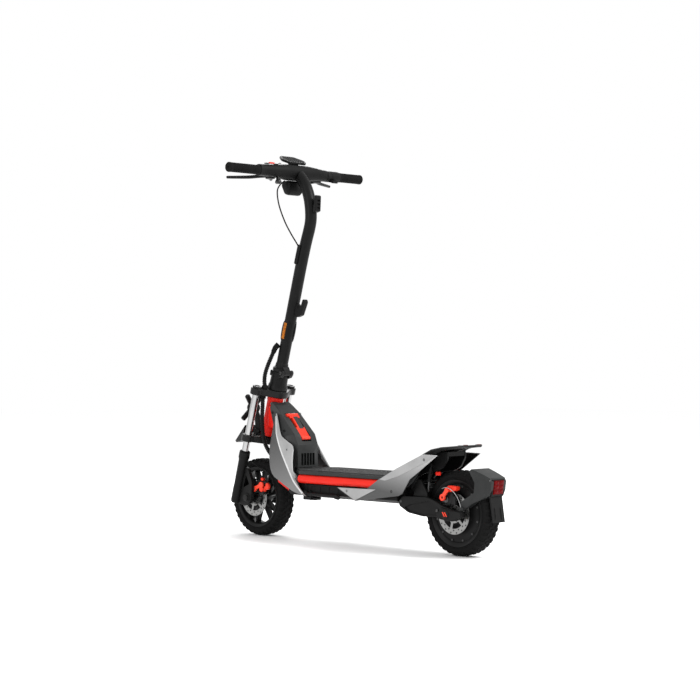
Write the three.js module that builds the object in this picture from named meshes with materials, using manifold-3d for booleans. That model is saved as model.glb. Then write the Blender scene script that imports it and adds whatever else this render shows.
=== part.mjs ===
// Electric kick scooter with telescopic fork, sprung swingarm and folding stem.
// Millimetres. +X forward, +Y to the rider's left, +Z up, wheels standing on z = 0.
import * as THREE from 'three';
import { mergeVertices } from 'three/addons/utils/BufferGeometryUtils.js';
import { ConvexGeometry } from 'three/addons/geometries/ConvexGeometry.js';
import Module from 'manifold-3d';

// ---------------------------------------------------------------- driving dimensions
const ORIGIN_SHIFT = 10.5;          // puts the origin under the middle of the overall length
const WHEELBASE = 978;
const AXLE_X = WHEELBASE / 2;
const TYRE_RADIUS = 140;
const TYRE_BEAD_RADIUS = 106;
const RIM_HALF_WIDTH = 29;
const AXLE_RADIUS = 8;
const ROTOR_RADIUS = 68;
const ROTOR_Y = 42;                // inner face of both brake discs
const ROTOR_THICKNESS = 2.4;

const HEAD = { x: 435, z: 456 };   // a point on the steering axis, in the middle of the head tube
const HEAD_ANGLE = THREE.MathUtils.degToRad(16);
const LEG_Y = 80;
const LEG_FORWARD = 20;            // legs stand this far in front of the steering axis
const FRONT_AXLE = { f: -35.193, t: -318.643 };  // in fork coordinates: forward of the axis, up the axis
const FOLD_PIVOT = { f: -30, t: 148 };

const BAR = { x: 312, z: 1306 };
const BAR_HALF = 320.5;
const GRIP_RADIUS = 17.5;
const GRIP_INNER_Y = 205;

const DECK_TOP = 255;
const DECK_HALF = 99;
const RAIL = { y: 88, z: 223, r: 15, front: 196, rear: -284 };
const SIDE_PANEL_Y = 103.5;
const PIVOT = { x: -305, z: 163, r: 17 };    // swingarm pivot
const GAP = 0.4;

// ---------------------------------------------------------------- solids
const wasm = await Module();
wasm.setup();

function solid(geometry) {
  const bare = geometry.index ? geometry.toNonIndexed() : geometry.clone();
  bare.deleteAttribute('normal');
  bare.deleteAttribute('uv');
  const merged = mergeVertices(bare, 1e-3);
  return new wasm.Manifold(new wasm.Mesh({
    numProp: 3,
    vertProperties: new Float32Array(merged.attributes.position.array),
    triVerts: new Uint32Array(merged.index.array),
  }));
}

function surface(manifold) {
  const mesh = manifold.getMesh();
  const geometry = new THREE.BufferGeometry();
  geometry.setAttribute('position', new THREE.BufferAttribute(mesh.vertProperties, 3));
  geometry.setIndex(new THREE.BufferAttribute(mesh.triVerts, 1));
  geometry.computeVertexNormals();
  return geometry;
}

function join(first, ...rest) {
  return surface(rest.reduce((whole, part) => whole.add(solid(part)), solid(first)));
}

function cut(first, ...rest) {
  return surface(rest.reduce((whole, part) => whole.subtract(solid(part)), solid(first)));
}

const point = ([x, y, z]) => new THREE.Vector3(x, y, z);

function box(x0, x1, y0, y1, z0, z1) {
  const geometry = new THREE.BoxGeometry(x1 - x0, y1 - y0, z1 - z0);
  return geometry.translate((x0 + x1) / 2, (y0 + y1) / 2, (z0 + z1) / 2);
}

// A cone or cylinder from one point to another.
function rod(from, to, radius, sides = 20, endRadius = radius) {
  const a = point(from);
  const b = point(to);
  const along = b.clone().sub(a);
  const geometry = new THREE.CylinderGeometry(endRadius, radius, along.length(), sides);
  const direction = along.clone().normalize();
  geometry.applyQuaternion(new THREE.Quaternion().setFromUnitVectors(new THREE.Vector3(0, 1, 0), direction));
  const middle = a.add(b).multiplyScalar(0.5);
  return geometry.translate(middle.x, middle.y, middle.z);
}

// A cylinder about the Y direction.
const drum = (x, z, radius, y0, y1, sides = 24) => rod([x, y0, z], [x, y1, z], radius, sides);

function tube(points, radius, sides, steps) {
  const path = new THREE.CatmullRomCurve3(points.map(point));
  const section = [];
  for (let i = 0; i < sides; i += 1) {
    const angle = (2 * Math.PI * i) / sides;
    section.push(new THREE.Vector2(radius * Math.cos(angle), radius * Math.sin(angle)));
  }
  const settings = { steps, extrudePath: path, bevelEnabled: false };
  return new THREE.ExtrudeGeometry(new THREE.Shape(section), settings);
}

// An outline of [x, z] points, thick from y0 to y1.
function prism(outline, y0, y1) {
  const shape = new THREE.Shape(outline.map(([x, z]) => new THREE.Vector2(x, z)));
  const geometry = new THREE.ExtrudeGeometry(shape, { depth: y1 - y0, bevelEnabled: false });
  return geometry.rotateX(Math.PI / 2).translate(0, y1, 0);
}

// An outline of [x, y] points, thick from z0 to z1.
function slab(outline, z0, z1) {
  const shape = new THREE.Shape(outline.map(([x, y]) => new THREE.Vector2(x, y)));
  return new THREE.ExtrudeGeometry(shape, { depth: z1 - z0, bevelEnabled: false }).translate(0, 0, z0);
}

// A section of [y, z] points, long from x0 to x1.
function bar(section, x0, x1) {
  const shape = new THREE.Shape(section.map(([y, z]) => new THREE.Vector2(y, z)));
  const geometry = new THREE.ExtrudeGeometry(shape, { depth: x1 - x0, bevelEnabled: false });
  const turn = new THREE.Matrix4().makeBasis(point([0, 1, 0]), point([0, 0, 1]), point([1, 0, 0]));
  return geometry.applyMatrix4(turn).translate(x0, 0, 0);
}

const hull = (points) => new ConvexGeometry(points.map(point));

// A ring about the Y direction from a closed [radius, y] profile. Its radii are measured
// to the flats, and one flat faces down once the ring stands in the scooter.
function wheelRing(profile, x, z, segments, lean = 0) {
  const flatToCorner = 1 / Math.cos(Math.PI / segments);
  const loop = [...profile, profile[0]].map(([r, y]) => new THREE.Vector2(r * flatToCorner, y));
  const ring = new THREE.LatheGeometry(loop, segments).rotateY(Math.PI / segments + lean);
  return ring.translate(x, 0, z);
}

// The same points on the left and the right side.
const bothSides = (points) => points.flatMap(([x, y, z]) => [[x, y, z], [x, -y, z]]);

function mirrored(geometry) {
  const copy = (geometry.index ? geometry.toNonIndexed() : geometry.clone()).scale(1, -1, 1);
  const position = copy.attributes.position;
  const flipped = new Float32Array(position.array.length);
  for (let corner = 0; corner < position.count; corner += 3) {
    [0, 2, 1].forEach((from, to) => {
      flipped[3 * (corner + to)] = position.getX(corner + from);
      flipped[3 * (corner + to) + 1] = position.getY(corner + from);
      flipped[3 * (corner + to) + 2] = position.getZ(corner + from);
    });
  }
  const result = new THREE.BufferGeometry();
  result.setAttribute('position', new THREE.BufferAttribute(flipped, 3));
  result.computeVertexNormals();
  return result;
}

// ---------------------------------------------------------------- materials
function finish(color, roughness, metalness) {
  return new THREE.MeshStandardMaterial({ color, roughness, metalness });
}
const FRAME_RED = finish('#d8301f', 0.4, 0.2);
const MATT_BLACK = finish('#1c1c1d', 0.55, 0.3);
const PLASTIC_BLACK = finish('#191919', 0.6, 0);
const SHROUD_GREY = finish('#3c3d3d', 0.55, 0);
const PANEL_GREY = finish('#7a7a79', 0.45, 0.1);
const DECK_GREY = finish('#4a4a4a', 0.85, 0);
const ACCENT_ORANGE = finish('#ff4a2c', 0.4, 0.1);
const CHROME = finish('#d6d6d6', 0.12, 1);
const STEEL = finish('#b6b6b4', 0.3, 0.9);
const TYRE_RUBBER = finish('#151515', 0.9, 0);
const RED_LENS = finish('#a01414', 0.2, 0);
const SCREEN = finish('#242528', 0.25, 0);
const CELL_BLUE = finish('#33507a', 0.5, 0);

const scooter = new THREE.Group();
scooter.position.set(ORIGIN_SHIFT, 0, 0);

function add(group, name, geometry, material) {
  const mesh = new THREE.Mesh(geometry, material);
  mesh.name = name;
  group.add(mesh);
  return mesh;
}

// Everything that turns with the handlebar is drawn in fork coordinates: x forward and
// z up the steering axis, with the origin in the middle of the head tube.
const fork = new THREE.Group();
fork.position.set(HEAD.x, 0, HEAD.z);
fork.rotation.y = -HEAD_ANGLE;
scooter.add(fork);

function toFork([x, y, z]) {
  const c = Math.cos(HEAD_ANGLE);
  const s = Math.sin(HEAD_ANGLE);
  const dx = x - HEAD.x;
  const dz = z - HEAD.z;
  return [c * dx + s * dz, y, c * dz - s * dx];
}

const inFrame = (geometry) => geometry.rotateY(-HEAD_ANGLE).translate(HEAD.x, 0, HEAD.z);
const inFork = (geometry) => geometry.translate(-HEAD.x, 0, -HEAD.z).rotateY(HEAD_ANGLE);

// ---------------------------------------------------------------- chassis
// One welded frame: head tube, neck, deck nose block with two corner braces, side rails, rear
// bulkhead with the pivot barrel, and two ribs under the kick plate joined by a web over the tyre.
function mainFrame() {
  const headTube = inFrame(rod([0, 0, -93], [0, 0, 51], 30, 20));
  const bore = inFrame(rod([0, 0, -120], [0, 0, 80], 21, 18));
  const neck = prism([
    [168, 236], [168, 163], [248, 166], [306, 196], [326, 250], [346, 320], [378, 384],
    [420, 398], [418, 470], [392, 472], [345, 430], [300, 372], [272, 312], [266, 236],
  ], -42, 42);
  const nose = bar([[-72, 163], [72, 163], [84, 174], [84, 236], [-84, 236], [-84, 174]], 168, 262);
  const rails = [1, -1].map((side) => rod(
    [RAIL.rear, side * RAIL.y, RAIL.z], [RAIL.front, side * RAIL.y, RAIL.z], RAIL.r, 14,
  ));
  const bulkhead = join(box(-287, -272, -60, 60, 160, 237), box(-287, -272, -84, 84, 208, 237));
  const lugOutline = [[-280, 162], [-280, 192], [PIVOT.x, PIVOT.z + 16], [PIVOT.x, PIVOT.z - 16]];
  const lug = prism(lugOutline, -54, 54);
  const barrel = drum(PIVOT.x, PIVOT.z, PIVOT.r, -54, 54);
  const pinHole = drum(PIVOT.x, PIVOT.z, 8.4, -60, 60, 16);
  const ribOutline = [
    [-272, 200], [-272, 257], [-300, 271], [-430, 335], [-462, 341], [-464, 318], [-445, 287],
    [-420, 274], [-372, 268], [-330, 252], [-287, 200],
  ];
  const ribs = [prism(ribOutline, 38, 46), prism(ribOutline, -46, -38)];
  const webOutline = [[-340, 287], [-430, 332], [-462, 338], [-462, 324], [-430, 321], [-344, 281]];
  const web = prism(webOutline, -40, 40);
  const braces = [1, -1].flatMap((side) => [
    rod([248, side * 78, 176], [324, side * 76, 212], 5.5, 10),
    rod([324, side * 76, 212], [318, side * 38, 230], 5.5, 10),
  ]);
  const whole = join(headTube, neck, nose, ...rails, bulkhead, lug, barrel, ...ribs, web, ...braces);
  return cut(whole, bore, pinHole);
}
add(scooter, 'main_frame', mainFrame(), FRAME_RED);

const deckOutline = [
  [-246, -DECK_HALF], [192, -DECK_HALF], [214, -78], [244, -64],
  [244, 64], [214, 78], [192, DECK_HALF], [-246, DECK_HALF],
];
add(scooter, 'deck_plate', slab(deckOutline, 239, 252), SHROUD_GREY);
const matOutline = deckOutline.map(([x, y]) => [x, y * 0.955]);
add(scooter, 'deck_mat', slab(matOutline, 252.3, DECK_TOP + 1), DECK_GREY);

// Open tub between the rails, closed at the top by the deck plate.
function batteryTray() {
  const section = [
    [-60, 160], [60, 160], [84, 172], [84, 206], [71, 206], [71, 236.5],
    [-71, 236.5], [-71, 206], [-84, 206], [-84, 172],
  ];
  const inside = [[-57, 164], [57, 164], [67, 172], [67, 240], [-67, 240], [-67, 172]];
  return cut(bar(section, -271.5, 167.5), bar(inside, -267, 163));
}
add(scooter, 'battery_tray', batteryTray(), PLASTIC_BLACK);
add(scooter, 'battery_pack', box(-258, 100, -60, 60, 174, 232), CELL_BLUE);

// The latch on the back of the neck: a T-shaped grab bar on top and a paddle below.
const LATCH_PIVOT = { x: 335, z: 439 };
const latchArm = [
  [333, 444], [326, 438], [298, 406], [266, 368], [257, 361], [260, 354], [271, 359], [305, 399],
  [338, 434],
];
function latchLever() {
  return join(drum(LATCH_PIVOT.x, LATCH_PIVOT.z, 7, -27, 27, 16), prism(latchArm, -20, 20));
}
add(scooter, 'latch_lever', latchLever(), ACCENT_ORANGE);

// Plastic shroud round the neck, open at the front and below, with a channel for the latch.
function neckShroud() {
  const upper = hull(bothSides([
    [424, 26, 484], [398, 40, 487], [376, 38, 476], [343, 46, 447], [306, 49, 409], [266, 49, 373],
    [396, 50, 462], [372, 54, 400], [340, 56, 350], [300, 55, 330],
  ]));
  const lower = hull(bothSides([
    [266, 49, 373], [250, 48, 336], [250, 49, 257], [322, 56, 257], [338, 57, 345], [300, 55, 370],
  ]));
  const hollow = prism([
    [258, 240], [258, 330], [274, 362], [312, 402], [350, 440], [384, 468], [404, 478],
    [470, 478], [470, 240],
  ], -45, 45);
  const aroundHeadTube = inFrame(rod([0, 0, -120], [0, 0, 80], 34, 28));
  const latchChannel = prism([
    [270, 388], [250, 366], [256, 347], [274, 353], [310, 395], [344, 434], [328, 462], [300, 430],
  ], -22.5, 22.5);
  const grabBarChannel = drum(LATCH_PIVOT.x, LATCH_PIVOT.z, 10, -30, 30, 16);
  const vents = [-27, -9, 9, 27].map((y) => box(240, 270, y - 6, y + 6, 266, 306));
  return cut(join(upper, lower), hollow, aroundHeadTube, latchChannel, grabBarChannel, ...vents);
}
add(scooter, 'neck_shroud', neckShroud(), SHROUD_GREY);

// Side fairing: a curved outer panel that folds inward along its back edge.
// Each station gives the front edge, the fold and the inner edge of the flange.
function fairingLeft() {
  const stations = [
    [[362, 58, 446], [352, 60, 448], [349, 59, 444]],
    [[368, 64, 387], [340, 70, 376], [318, 61, 368]],
    [[371, 74, 323], [300, 84, 319], [274, 60, 338]],
    [[358, 86, 262], [256, 96, 272], [263, 74, 292]],
    [[330, 94, 228], [208, 106, 215], [226, 101, 241]],
  ];
  const skin = 4;
  const pieces = [];
  for (let i = 0; i < stations.length - 1; i += 1) {
    const [frontA, foldA, innerA] = stations[i];
    const [frontB, foldB, innerB] = stations[i + 1];
    const outerPanel = [frontA, foldA, frontB, foldB];
    pieces.push(hull([...outerPanel, ...outerPanel.map(([x, y, z]) => [x, y - skin, z])]));
    if (i < stations.length - 2) {
      const flange = [foldA, innerA, foldB, innerB];
      pieces.push(hull([...flange, ...flange.map(([x, y, z]) => [x + skin, y - 1, z - 1])]));
    }
  }
  const tip = [[330, 94, 228], [208, 106, 215], [144, 107.5, 164], [206, 105, 178]];
  pieces.push(hull([...tip, ...tip.map(([x, y, z]) => [x, y - skin, z])]));
  return join(...pieces);
}
const fairingKeepOut = [
  box(100, RAIL.front + 2, 60, 103.4, 206, 300),
  box(100, 262.4, 0, 84.5, 150, 238),
];
add(scooter, 'fairing_left', cut(fairingLeft(), ...fairingKeepOut), PANEL_GREY);
add(scooter, 'fairing_right', mirrored(cut(fairingLeft(), ...fairingKeepOut)), PANEL_GREY);

// Side panels of the tail, from a point under the rail up to the kick plate.
const wingOutline = [
  [-7, 204], [-95, 162], [-300, 190], [-316, 200], [-351, 249], [-403, 286], [-475, 330],
  [-411, 331], [-286, 278], [-206, 239], [-152, 205],
];
add(scooter, 'wing_left', prism(wingOutline, SIDE_PANEL_Y, SIDE_PANEL_Y + 5), PANEL_GREY);
add(scooter, 'wing_right', prism(wingOutline, -SIDE_PANEL_Y - 5, -SIDE_PANEL_Y), PANEL_GREY);

// Raised foot rest over the rear wheel, with a wall below each side just inside the side panels.
function kickPlate() {
  const stations = [
    [-247, 257, 98], [-292, 281, 98], [-434, 348, 94], [-470, 356, 86], [-528, 362, 52],
    [-560, 364, 16],
  ];
  const thickness = 8;
  const pieces = [];
  for (let i = 0; i < stations.length - 1; i += 1) {
    const corners = stations.slice(i, i + 2).flatMap(([x, z, y]) => [[x, y, z], [x, y, z - thickness]]);
    pieces.push(hull(bothSides(corners)));
  }
  const wall = [
    [-292, 276], [-296, 250], [-320, 216], [-350, 236], [-381, 272], [-402, 300], [-407, 318],
    [-412, 334],
  ];
  return join(...pieces, prism(wall, 88, 93), prism(wall, -93, -88));
}
add(scooter, 'kick_plate', kickPlate(), PLASTIC_BLACK);

function kickstandBracket() {
  const plate = box(128, 186, 50, 84, 150, 159.4);
  const cheek = prism([[140, 152], [176, 152], [182, 178], [146, 186], [136, 178]], 84.6, 90);
  return join(plate, cheek, box(140, 176, 80, 88, 152, 159.4));
}
add(scooter, 'kickstand_bracket', kickstandBracket(), MATT_BLACK);

const STAND_PIVOT = { x: 158, z: 172 };
function kickstandLeg() {
  const hub = drum(STAND_PIVOT.x, STAND_PIVOT.z, 11, 90.4, 101, 20);
  const leg = rod([STAND_PIVOT.x, 96, STAND_PIVOT.z], [8, 96, 171], 6, 12);
  const foot = rod([8, 96, 171], [-8, 96, 166], 9, 12, 7);
  return join(hub, leg, foot);
}
add(scooter, 'kickstand_leg', kickstandLeg(), MATT_BLACK);

// ---------------------------------------------------------------- rear wheel and suspension
const rearAxle = { x: -AXLE_X, z: TYRE_RADIUS };

function swingarm() {
  const arm = [
    [-276, 156], [-276, 172], [-294, 190], [-400, 191], [-434, 182], [-475, 165], [-522, 153],
    [-552, 151], [-558, 144], [-556, 133], [-528, 121], [-505, 117], [-460, 122], [-440, 129],
    [-384, 126], [-318, 135],
  ];
  const riser = [[-330, 182], [-352, 246], [-366, 246], [-396, 200], [-398, 186]];
  const sides = [1, -1].flatMap((side) => {
    const span = (a, b) => (side > 0 ? [a, b] : [-b, -a]);
    return [prism(arm, ...span(62, 80)), prism(riser, ...span(62, 70)),
      prism([[-292, 150], [-292, 180], [-330, 180], [-330, 150]], ...span(54.5, 64))];
  });
  const bridge = drum(-358, 238, 8, -68, 68, 16);
  const pin = drum(PIVOT.x, PIVOT.z, 8, -66, 66, 16);
  const whole = join(...sides, bridge, pin);
  const axleHole = drum(rearAxle.x, rearAxle.z, AXLE_RADIUS + GAP, -90, 90, 20);
  return cut(whole, axleHole);
}
add(scooter, 'swingarm', swingarm(), MATT_BLACK);
add(scooter, 'rear_axle', join(
  drum(rearAxle.x, rearAxle.z, AXLE_RADIUS, -88, 88, 20),
  drum(rearAxle.x, rearAxle.z, 13, 80.4, 88, 6),
  drum(rearAxle.x, rearAxle.z, 13, -88, -80.4, 6),
), STEEL);

// Round calliper body on an ear of the swingarm, with the disc running in its slot.
function rearCaliper() {
  const body = drum(-476, 194, 27, ROTOR_Y + 5, 62, 28);
  const claw = box(-500, -458, 34, 56, 186, 216);
  const slot = box(-520, -440, ROTOR_Y - 2.5, ROTOR_Y + 5, 120, 209);
  const foot = prism([[-500, 200], [-512, 196], [-512, 170], [-452, 170], [-452, 196]], 52, 61.4);
  const block = prism([[-478, 216], [-486, 232], [-524, 230], [-522, 218], [-496, 212]], 50, 70);
  return cut(join(body, claw, foot, block), slot);
}
add(scooter, 'rear_caliper', rearCaliper(), MATT_BLACK);

const CALIPER_PIVOT = { x: -486, z: 217 };
function leverLink(from, to, y0, y1) {
  const along = new THREE.Vector2(to.x - from.x, to.z - from.z).normalize();
  const side = { x: -along.y * 6, z: along.x * 6 };
  const web = [
    [from.x + side.x, from.z + side.z], [from.x - side.x, from.z - side.z],
    [to.x - side.x, to.z - side.z], [to.x + side.x, to.z + side.z],
  ];
  const clampEnd = drum(from.x, from.z, 8, y0, y1, 16);
  const cableEnd = drum(to.x, to.z, 11, y0, y1, 20);
  return cut(join(prism(web, y0, y1), clampEnd, cableEnd), drum(to.x, to.z, 4.5, y0 - 1, y1 + 1, 16));
}
add(scooter, 'rear_caliper_arm', leverLink(CALIPER_PIVOT, { x: -467, z: 193 }, 70.4, 76), ACCENT_ORANGE);

// Draws both sides in, the further behind x0 the more, by a share of the width per millimetre.
function narrowRearward(geometry, x0, share) {
  const position = geometry.attributes.position;
  for (let i = 0; i < position.count; i += 1) {
    position.setY(i, position.getY(i) * (1 - share * Math.max(0, x0 - position.getX(i))));
  }
  geometry.computeVertexNormals();
  return geometry;
}

// Splash guard carried by the swingarm ends, with a flap behind the tyre.
function rearFender() {
  const strut = [
    [-526, 150], [-534, 151], [-572, 176], [-624, 196], [-640, 214], [-646, 258], [-600, 276],
    [-556, 290], [-570, 266], [-583, 244], [-580, 212], [-528, 180], [-524, 166],
  ];
  const sides = [prism(strut, 50, 54), prism(strut, -54, -50)];
  const cover = prism([
    [-556, 290], [-600, 276], [-646, 258], [-646, 253], [-600, 271], [-560, 284],
  ], -52, 52);
  const back = prism([
    [-646, 258], [-638, 214], [-624, 196], [-620, 199], [-633, 215], [-640, 256],
  ], -52, 52);
  const flap = prism([[-632, 206], [-646, 118], [-642, 118], [-628, 204]], -37, 37);
  const ears = [box(-542, -526, 53, 61.8, 152.6, 164), box(-542, -526, -61.8, -53, 152.6, 164)];
  return narrowRearward(join(...sides, cover, back, flap, ...ears), -526, 0.0018);
}
add(scooter, 'rear_fender', rearFender(), SHROUD_GREY);
add(scooter, 'tail_light', hull([
  ...bothSides([[-647, 24, 252], [-640.5, 24, 210]]), ...bothSides([[-650, 21, 248], [-645, 21, 208]]),
]), RED_LENS);

function tyre(x, z, lean) {
  const profile = [
    [TYRE_BEAD_RADIUS, -28], [112, -31.5], [121, -34], [131, -31.5], [137.5, -26], [TYRE_RADIUS, -21],
    [TYRE_RADIUS, 21], [137.5, 26], [131, 31.5], [121, 34], [112, 31.5], [TYRE_BEAD_RADIUS, 28],
  ];
  return wheelRing(profile, x, z, 36, lean);
}

function rotor(x, z) {
  const y = ROTOR_Y;
  return wheelRing([
    [24, y], [ROTOR_RADIUS, y], [ROTOR_RADIUS, y + ROTOR_THICKNESS], [24, y + ROTOR_THICKNESS],
  ], x, z, 24);
}

add(scooter, 'rear_tyre', tyre(rearAxle.x, rearAxle.z), TYRE_RUBBER);
const rimOuter = TYRE_BEAD_RADIUS - GAP;
const hubBore = AXLE_RADIUS + GAP;
add(scooter, 'rear_hub_motor', wheelRing([
  [hubBore, -46], [30, -46], [34, -30], [96, -24], [100, -RIM_HALF_WIDTH], [rimOuter, -RIM_HALF_WIDTH],
  [rimOuter, RIM_HALF_WIDTH], [100, RIM_HALF_WIDTH], [96, 24], [34, 30], [30, ROTOR_Y - GAP], [hubBore, 41.6],
], rearAxle.x, rearAxle.z, 36), MATT_BLACK);
add(scooter, 'rear_rotor', rotor(rearAxle.x, rearAxle.z), STEEL);

// Twin dampers between the kick plate ribs and the swingarm, one outside each side of the tyre.
const SHOCK_TOP = { x: -398, z: 292 };
const SHOCK_FOOT = { x: -384, z: 200 };
const SHOCK_Y = 54;
function shockPoint(share, side) {
  const x = SHOCK_TOP.x + share * (SHOCK_FOOT.x - SHOCK_TOP.x);
  const z = SHOCK_TOP.z + share * (SHOCK_FOOT.z - SHOCK_TOP.z);
  return [x, side * SHOCK_Y, z];
}
for (const [name, side] of [['left', 1], ['right', -1]]) {
  const [near, far] = side > 0 ? [46.4, 60] : [-60, -46.4];
  const eye = drum(SHOCK_TOP.x, SHOCK_TOP.z, 8, near, far, 16);
  const can = rod(shockPoint(0.05, side), shockPoint(0.58, side), 7.4, 16);
  const well = rod(shockPoint(0.2, side), shockPoint(0.7, side), 3.9, 12);
  add(scooter, `shock_body_${name}`, cut(join(eye, can), well), STEEL);
  const foot = drum(SHOCK_FOOT.x, SHOCK_FOOT.z, 7, near, far, 16);
  const shaft = rod(shockPoint(0.36, side), shockPoint(0.95, side), 3.5, 12);
  add(scooter, `shock_shaft_${name}`, join(foot, shaft), CHROME);
}

// ---------------------------------------------------------------- fork: steering part
const CROWN_LOW = { bottom: -121, top: -97 };
const CROWN_HIGH = { bottom: 55, top: 79 };
const STANCHION_RADIUS = 12.5;
const STANCHION_TOP = 87;
const STANCHION_FOOT = -236;
const LOWER_LEG_TOP = -164;

function arc([cx, cy], radius, from, to, count) {
  return Array.from({ length: count }, (_, i) => {
    const angle = THREE.MathUtils.degToRad(from + ((to - from) * i) / (count - 1));
    return [cx + radius * Math.cos(angle), cy + radius * Math.sin(angle)];
  });
}

// Two round eyes for the legs, joined by a waist that reaches back round the steering axis.
const crownOutline = (reach) => [
  ...arc([LEG_FORWARD, LEG_Y], 22, 0, 200, 7),
  ...arc([0, 0], reach, 130, 230, 5),
  ...arc([LEG_FORWARD, -LEG_Y], 22, 160, 360, 7),
];
const legHoles = (low, high) => [1, -1].map((side) => rod(
  [LEG_FORWARD, side * LEG_Y, low], [LEG_FORWARD, side * LEG_Y, high], STANCHION_RADIUS + GAP, 16,
));

// The lower crown carries the steerer tube that turns in the head tube.
function lowerCrown() {
  const plate = slab(crownOutline(40), CROWN_LOW.bottom, CROWN_LOW.top);
  const race = rod([0, 0, CROWN_LOW.top - 1], [0, 0, -93.5], 29, 20);
  const steerer = rod([0, 0, -100], [0, 0, 54.6], 20.5, 18);
  return cut(join(plate, race, steerer), ...legHoles(-130, -90));
}
add(fork, 'lower_crown', lowerCrown(), MATT_BLACK);

function upperCrown() {
  const plate = slab(crownOutline(44), CROWN_HIGH.bottom, CROWN_HIGH.top);
  const race = rod([0, 0, 51.4], [0, 0, CROWN_HIGH.bottom + 1], 29, 20);
  const steererHole = rod([0, 0, 40], [0, 0, CROWN_HIGH.bottom], 21, 18);
  return cut(join(plate, race), steererHole, ...legHoles(40, 90));
}
add(fork, 'upper_crown', upperCrown(), MATT_BLACK);

for (const [name, side] of [['left', 1], ['right', -1]]) {
  const y = side * LEG_Y;
  const shaftTop = [LEG_FORWARD, y, STANCHION_TOP - 6];
  const shaft = rod([LEG_FORWARD, y, STANCHION_FOOT], shaftTop, STANCHION_RADIUS, 16);
  const cap = rod([LEG_FORWARD, y, CROWN_HIGH.top + 0.4], [LEG_FORWARD, y, STANCHION_TOP], 17, 12);
  add(fork, `stanchion_${name}`, join(shaft, cap), CHROME);
}

// X-shaped lamp in front of the head tube on a bracket from the lower crown.
const LAMP = toFork([548, 0, 464]);
function headlight() {
  const [f, , t] = LAMP;
  const bars = [1, -1].map((side) => rod(
    [f, -side * 38, t - 46], [f, side * 38, t + 46], 9.5, 8,
  ));
  const core = rod([f - 22, 0, t], [f + 10, 0, t], 20, 20);
  const stalk = prism([[f - 18, t - 8], [f - 12, t + 8], [46, -70], [40, -96], [62, -96]], -9, 9);
  const foot = box(36, 62, -16, 16, CROWN_LOW.top + GAP, -88);
  return join(...bars, core, stalk, foot);
}
add(fork, 'headlight', headlight(), PLASTIC_BLACK);

// Short guard ahead of the lower crown.
function frontFender() {
  const shell = inFork(hull(bothSides([
    [612, 8, 341], [602, 38, 341], [540, 58, 352], [540, 58, 346], [600, 34, 335], [576, 8, 399],
    [550, 36, 399], [556, 10, 382],
  ])));
  const tongue = prism([
    [42, -132], [42, -121.5], [96, -121.5], [130, -150], [120, -160], [80, -134],
  ], -24, 24);
  return join(shell, tongue);
}
add(fork, 'front_fender', frontFender(), PLASTIC_BLACK);

// Lower half of the folding joint, clamped on the upper crown, with the outer hinge knuckles.
function foldBase() {
  const { f, t } = FOLD_PIVOT;
  const collar = rod([0, 0, CROWN_HIGH.top + GAP], [0, 0, 140], 36, 20, 30);
  const pad = box(-20, 26, -28, 28, 128, 147);
  const knuckles = [1, -1].flatMap((side) => {
    const [near, far] = side > 0 ? [14.5, 28] : [-28, -14.5];
    const cheek = [[f - 9, t - 4], [f - 4, t - 16], [-10, 118], [-10, 146], [f, t - 1]];
    return [drum(f, t, 10, near, far, 14), prism(cheek, near, far)];
  });
  const pin = drum(f, t, 4, -31, 31, 12);
  const reliefForMiddleKnuckle = drum(f, t, 11.5, -14, 14, 16);
  return join(cut(join(collar, pad, ...knuckles), reliefForMiddleKnuckle), pin);
}
add(fork, 'fold_base', foldBase(), MATT_BLACK);

// ---------------------------------------------------------------- fork: sliding part
function forkLeg(side) {
  const y = side * LEG_Y;
  const { f, t } = FRONT_AXLE;
  const leg = rod([LEG_FORWARD, y, -356], [LEG_FORWARD, y, LOWER_LEG_TOP - 12], 18, 18);
  const collar = rod([LEG_FORWARD, y, LOWER_LEG_TOP - 18], [LEG_FORWARD, y, LOWER_LEG_TOP], 20, 18);
  const [near, far] = side > 0 ? [66, 80] : [-80, -66];
  const plate = prism([
    [LEG_FORWARD, -215], [LEG_FORWARD, -350], [-31, -352], [f - 17, t - 17], [f - 23, t + 1], [-46, -258],
    [-12, -217],
  ], near, far);
  const dropout = cut(plate, prism([[-7, -240], [-34, -268], [-7, -290]], near - 1, far + 1));
  const boss = drum(f, t, 17, near, far + (side > 0 ? 2 : 0), 24);
  const well = rod([LEG_FORWARD, y, -290], [LEG_FORWARD, y, -150], STANCHION_RADIUS + GAP, 16);
  const axleHole = drum(f, t, AXLE_RADIUS + GAP, -100, 100, 20);
  return cut(join(leg, collar, dropout, boss), well, axleHole);
}
add(fork, 'fork_leg_left', forkLeg(1), MATT_BLACK);
add(fork, 'fork_leg_right', forkLeg(-1), MATT_BLACK);
add(fork, 'front_axle', join(
  drum(FRONT_AXLE.f, FRONT_AXLE.t, AXLE_RADIUS, -90, 90, 20),
  drum(FRONT_AXLE.f, FRONT_AXLE.t, 12, 82.4, 90, 6),
  drum(FRONT_AXLE.f, FRONT_AXLE.t, 12, -90, -80.4, 6),
), STEEL);

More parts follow.
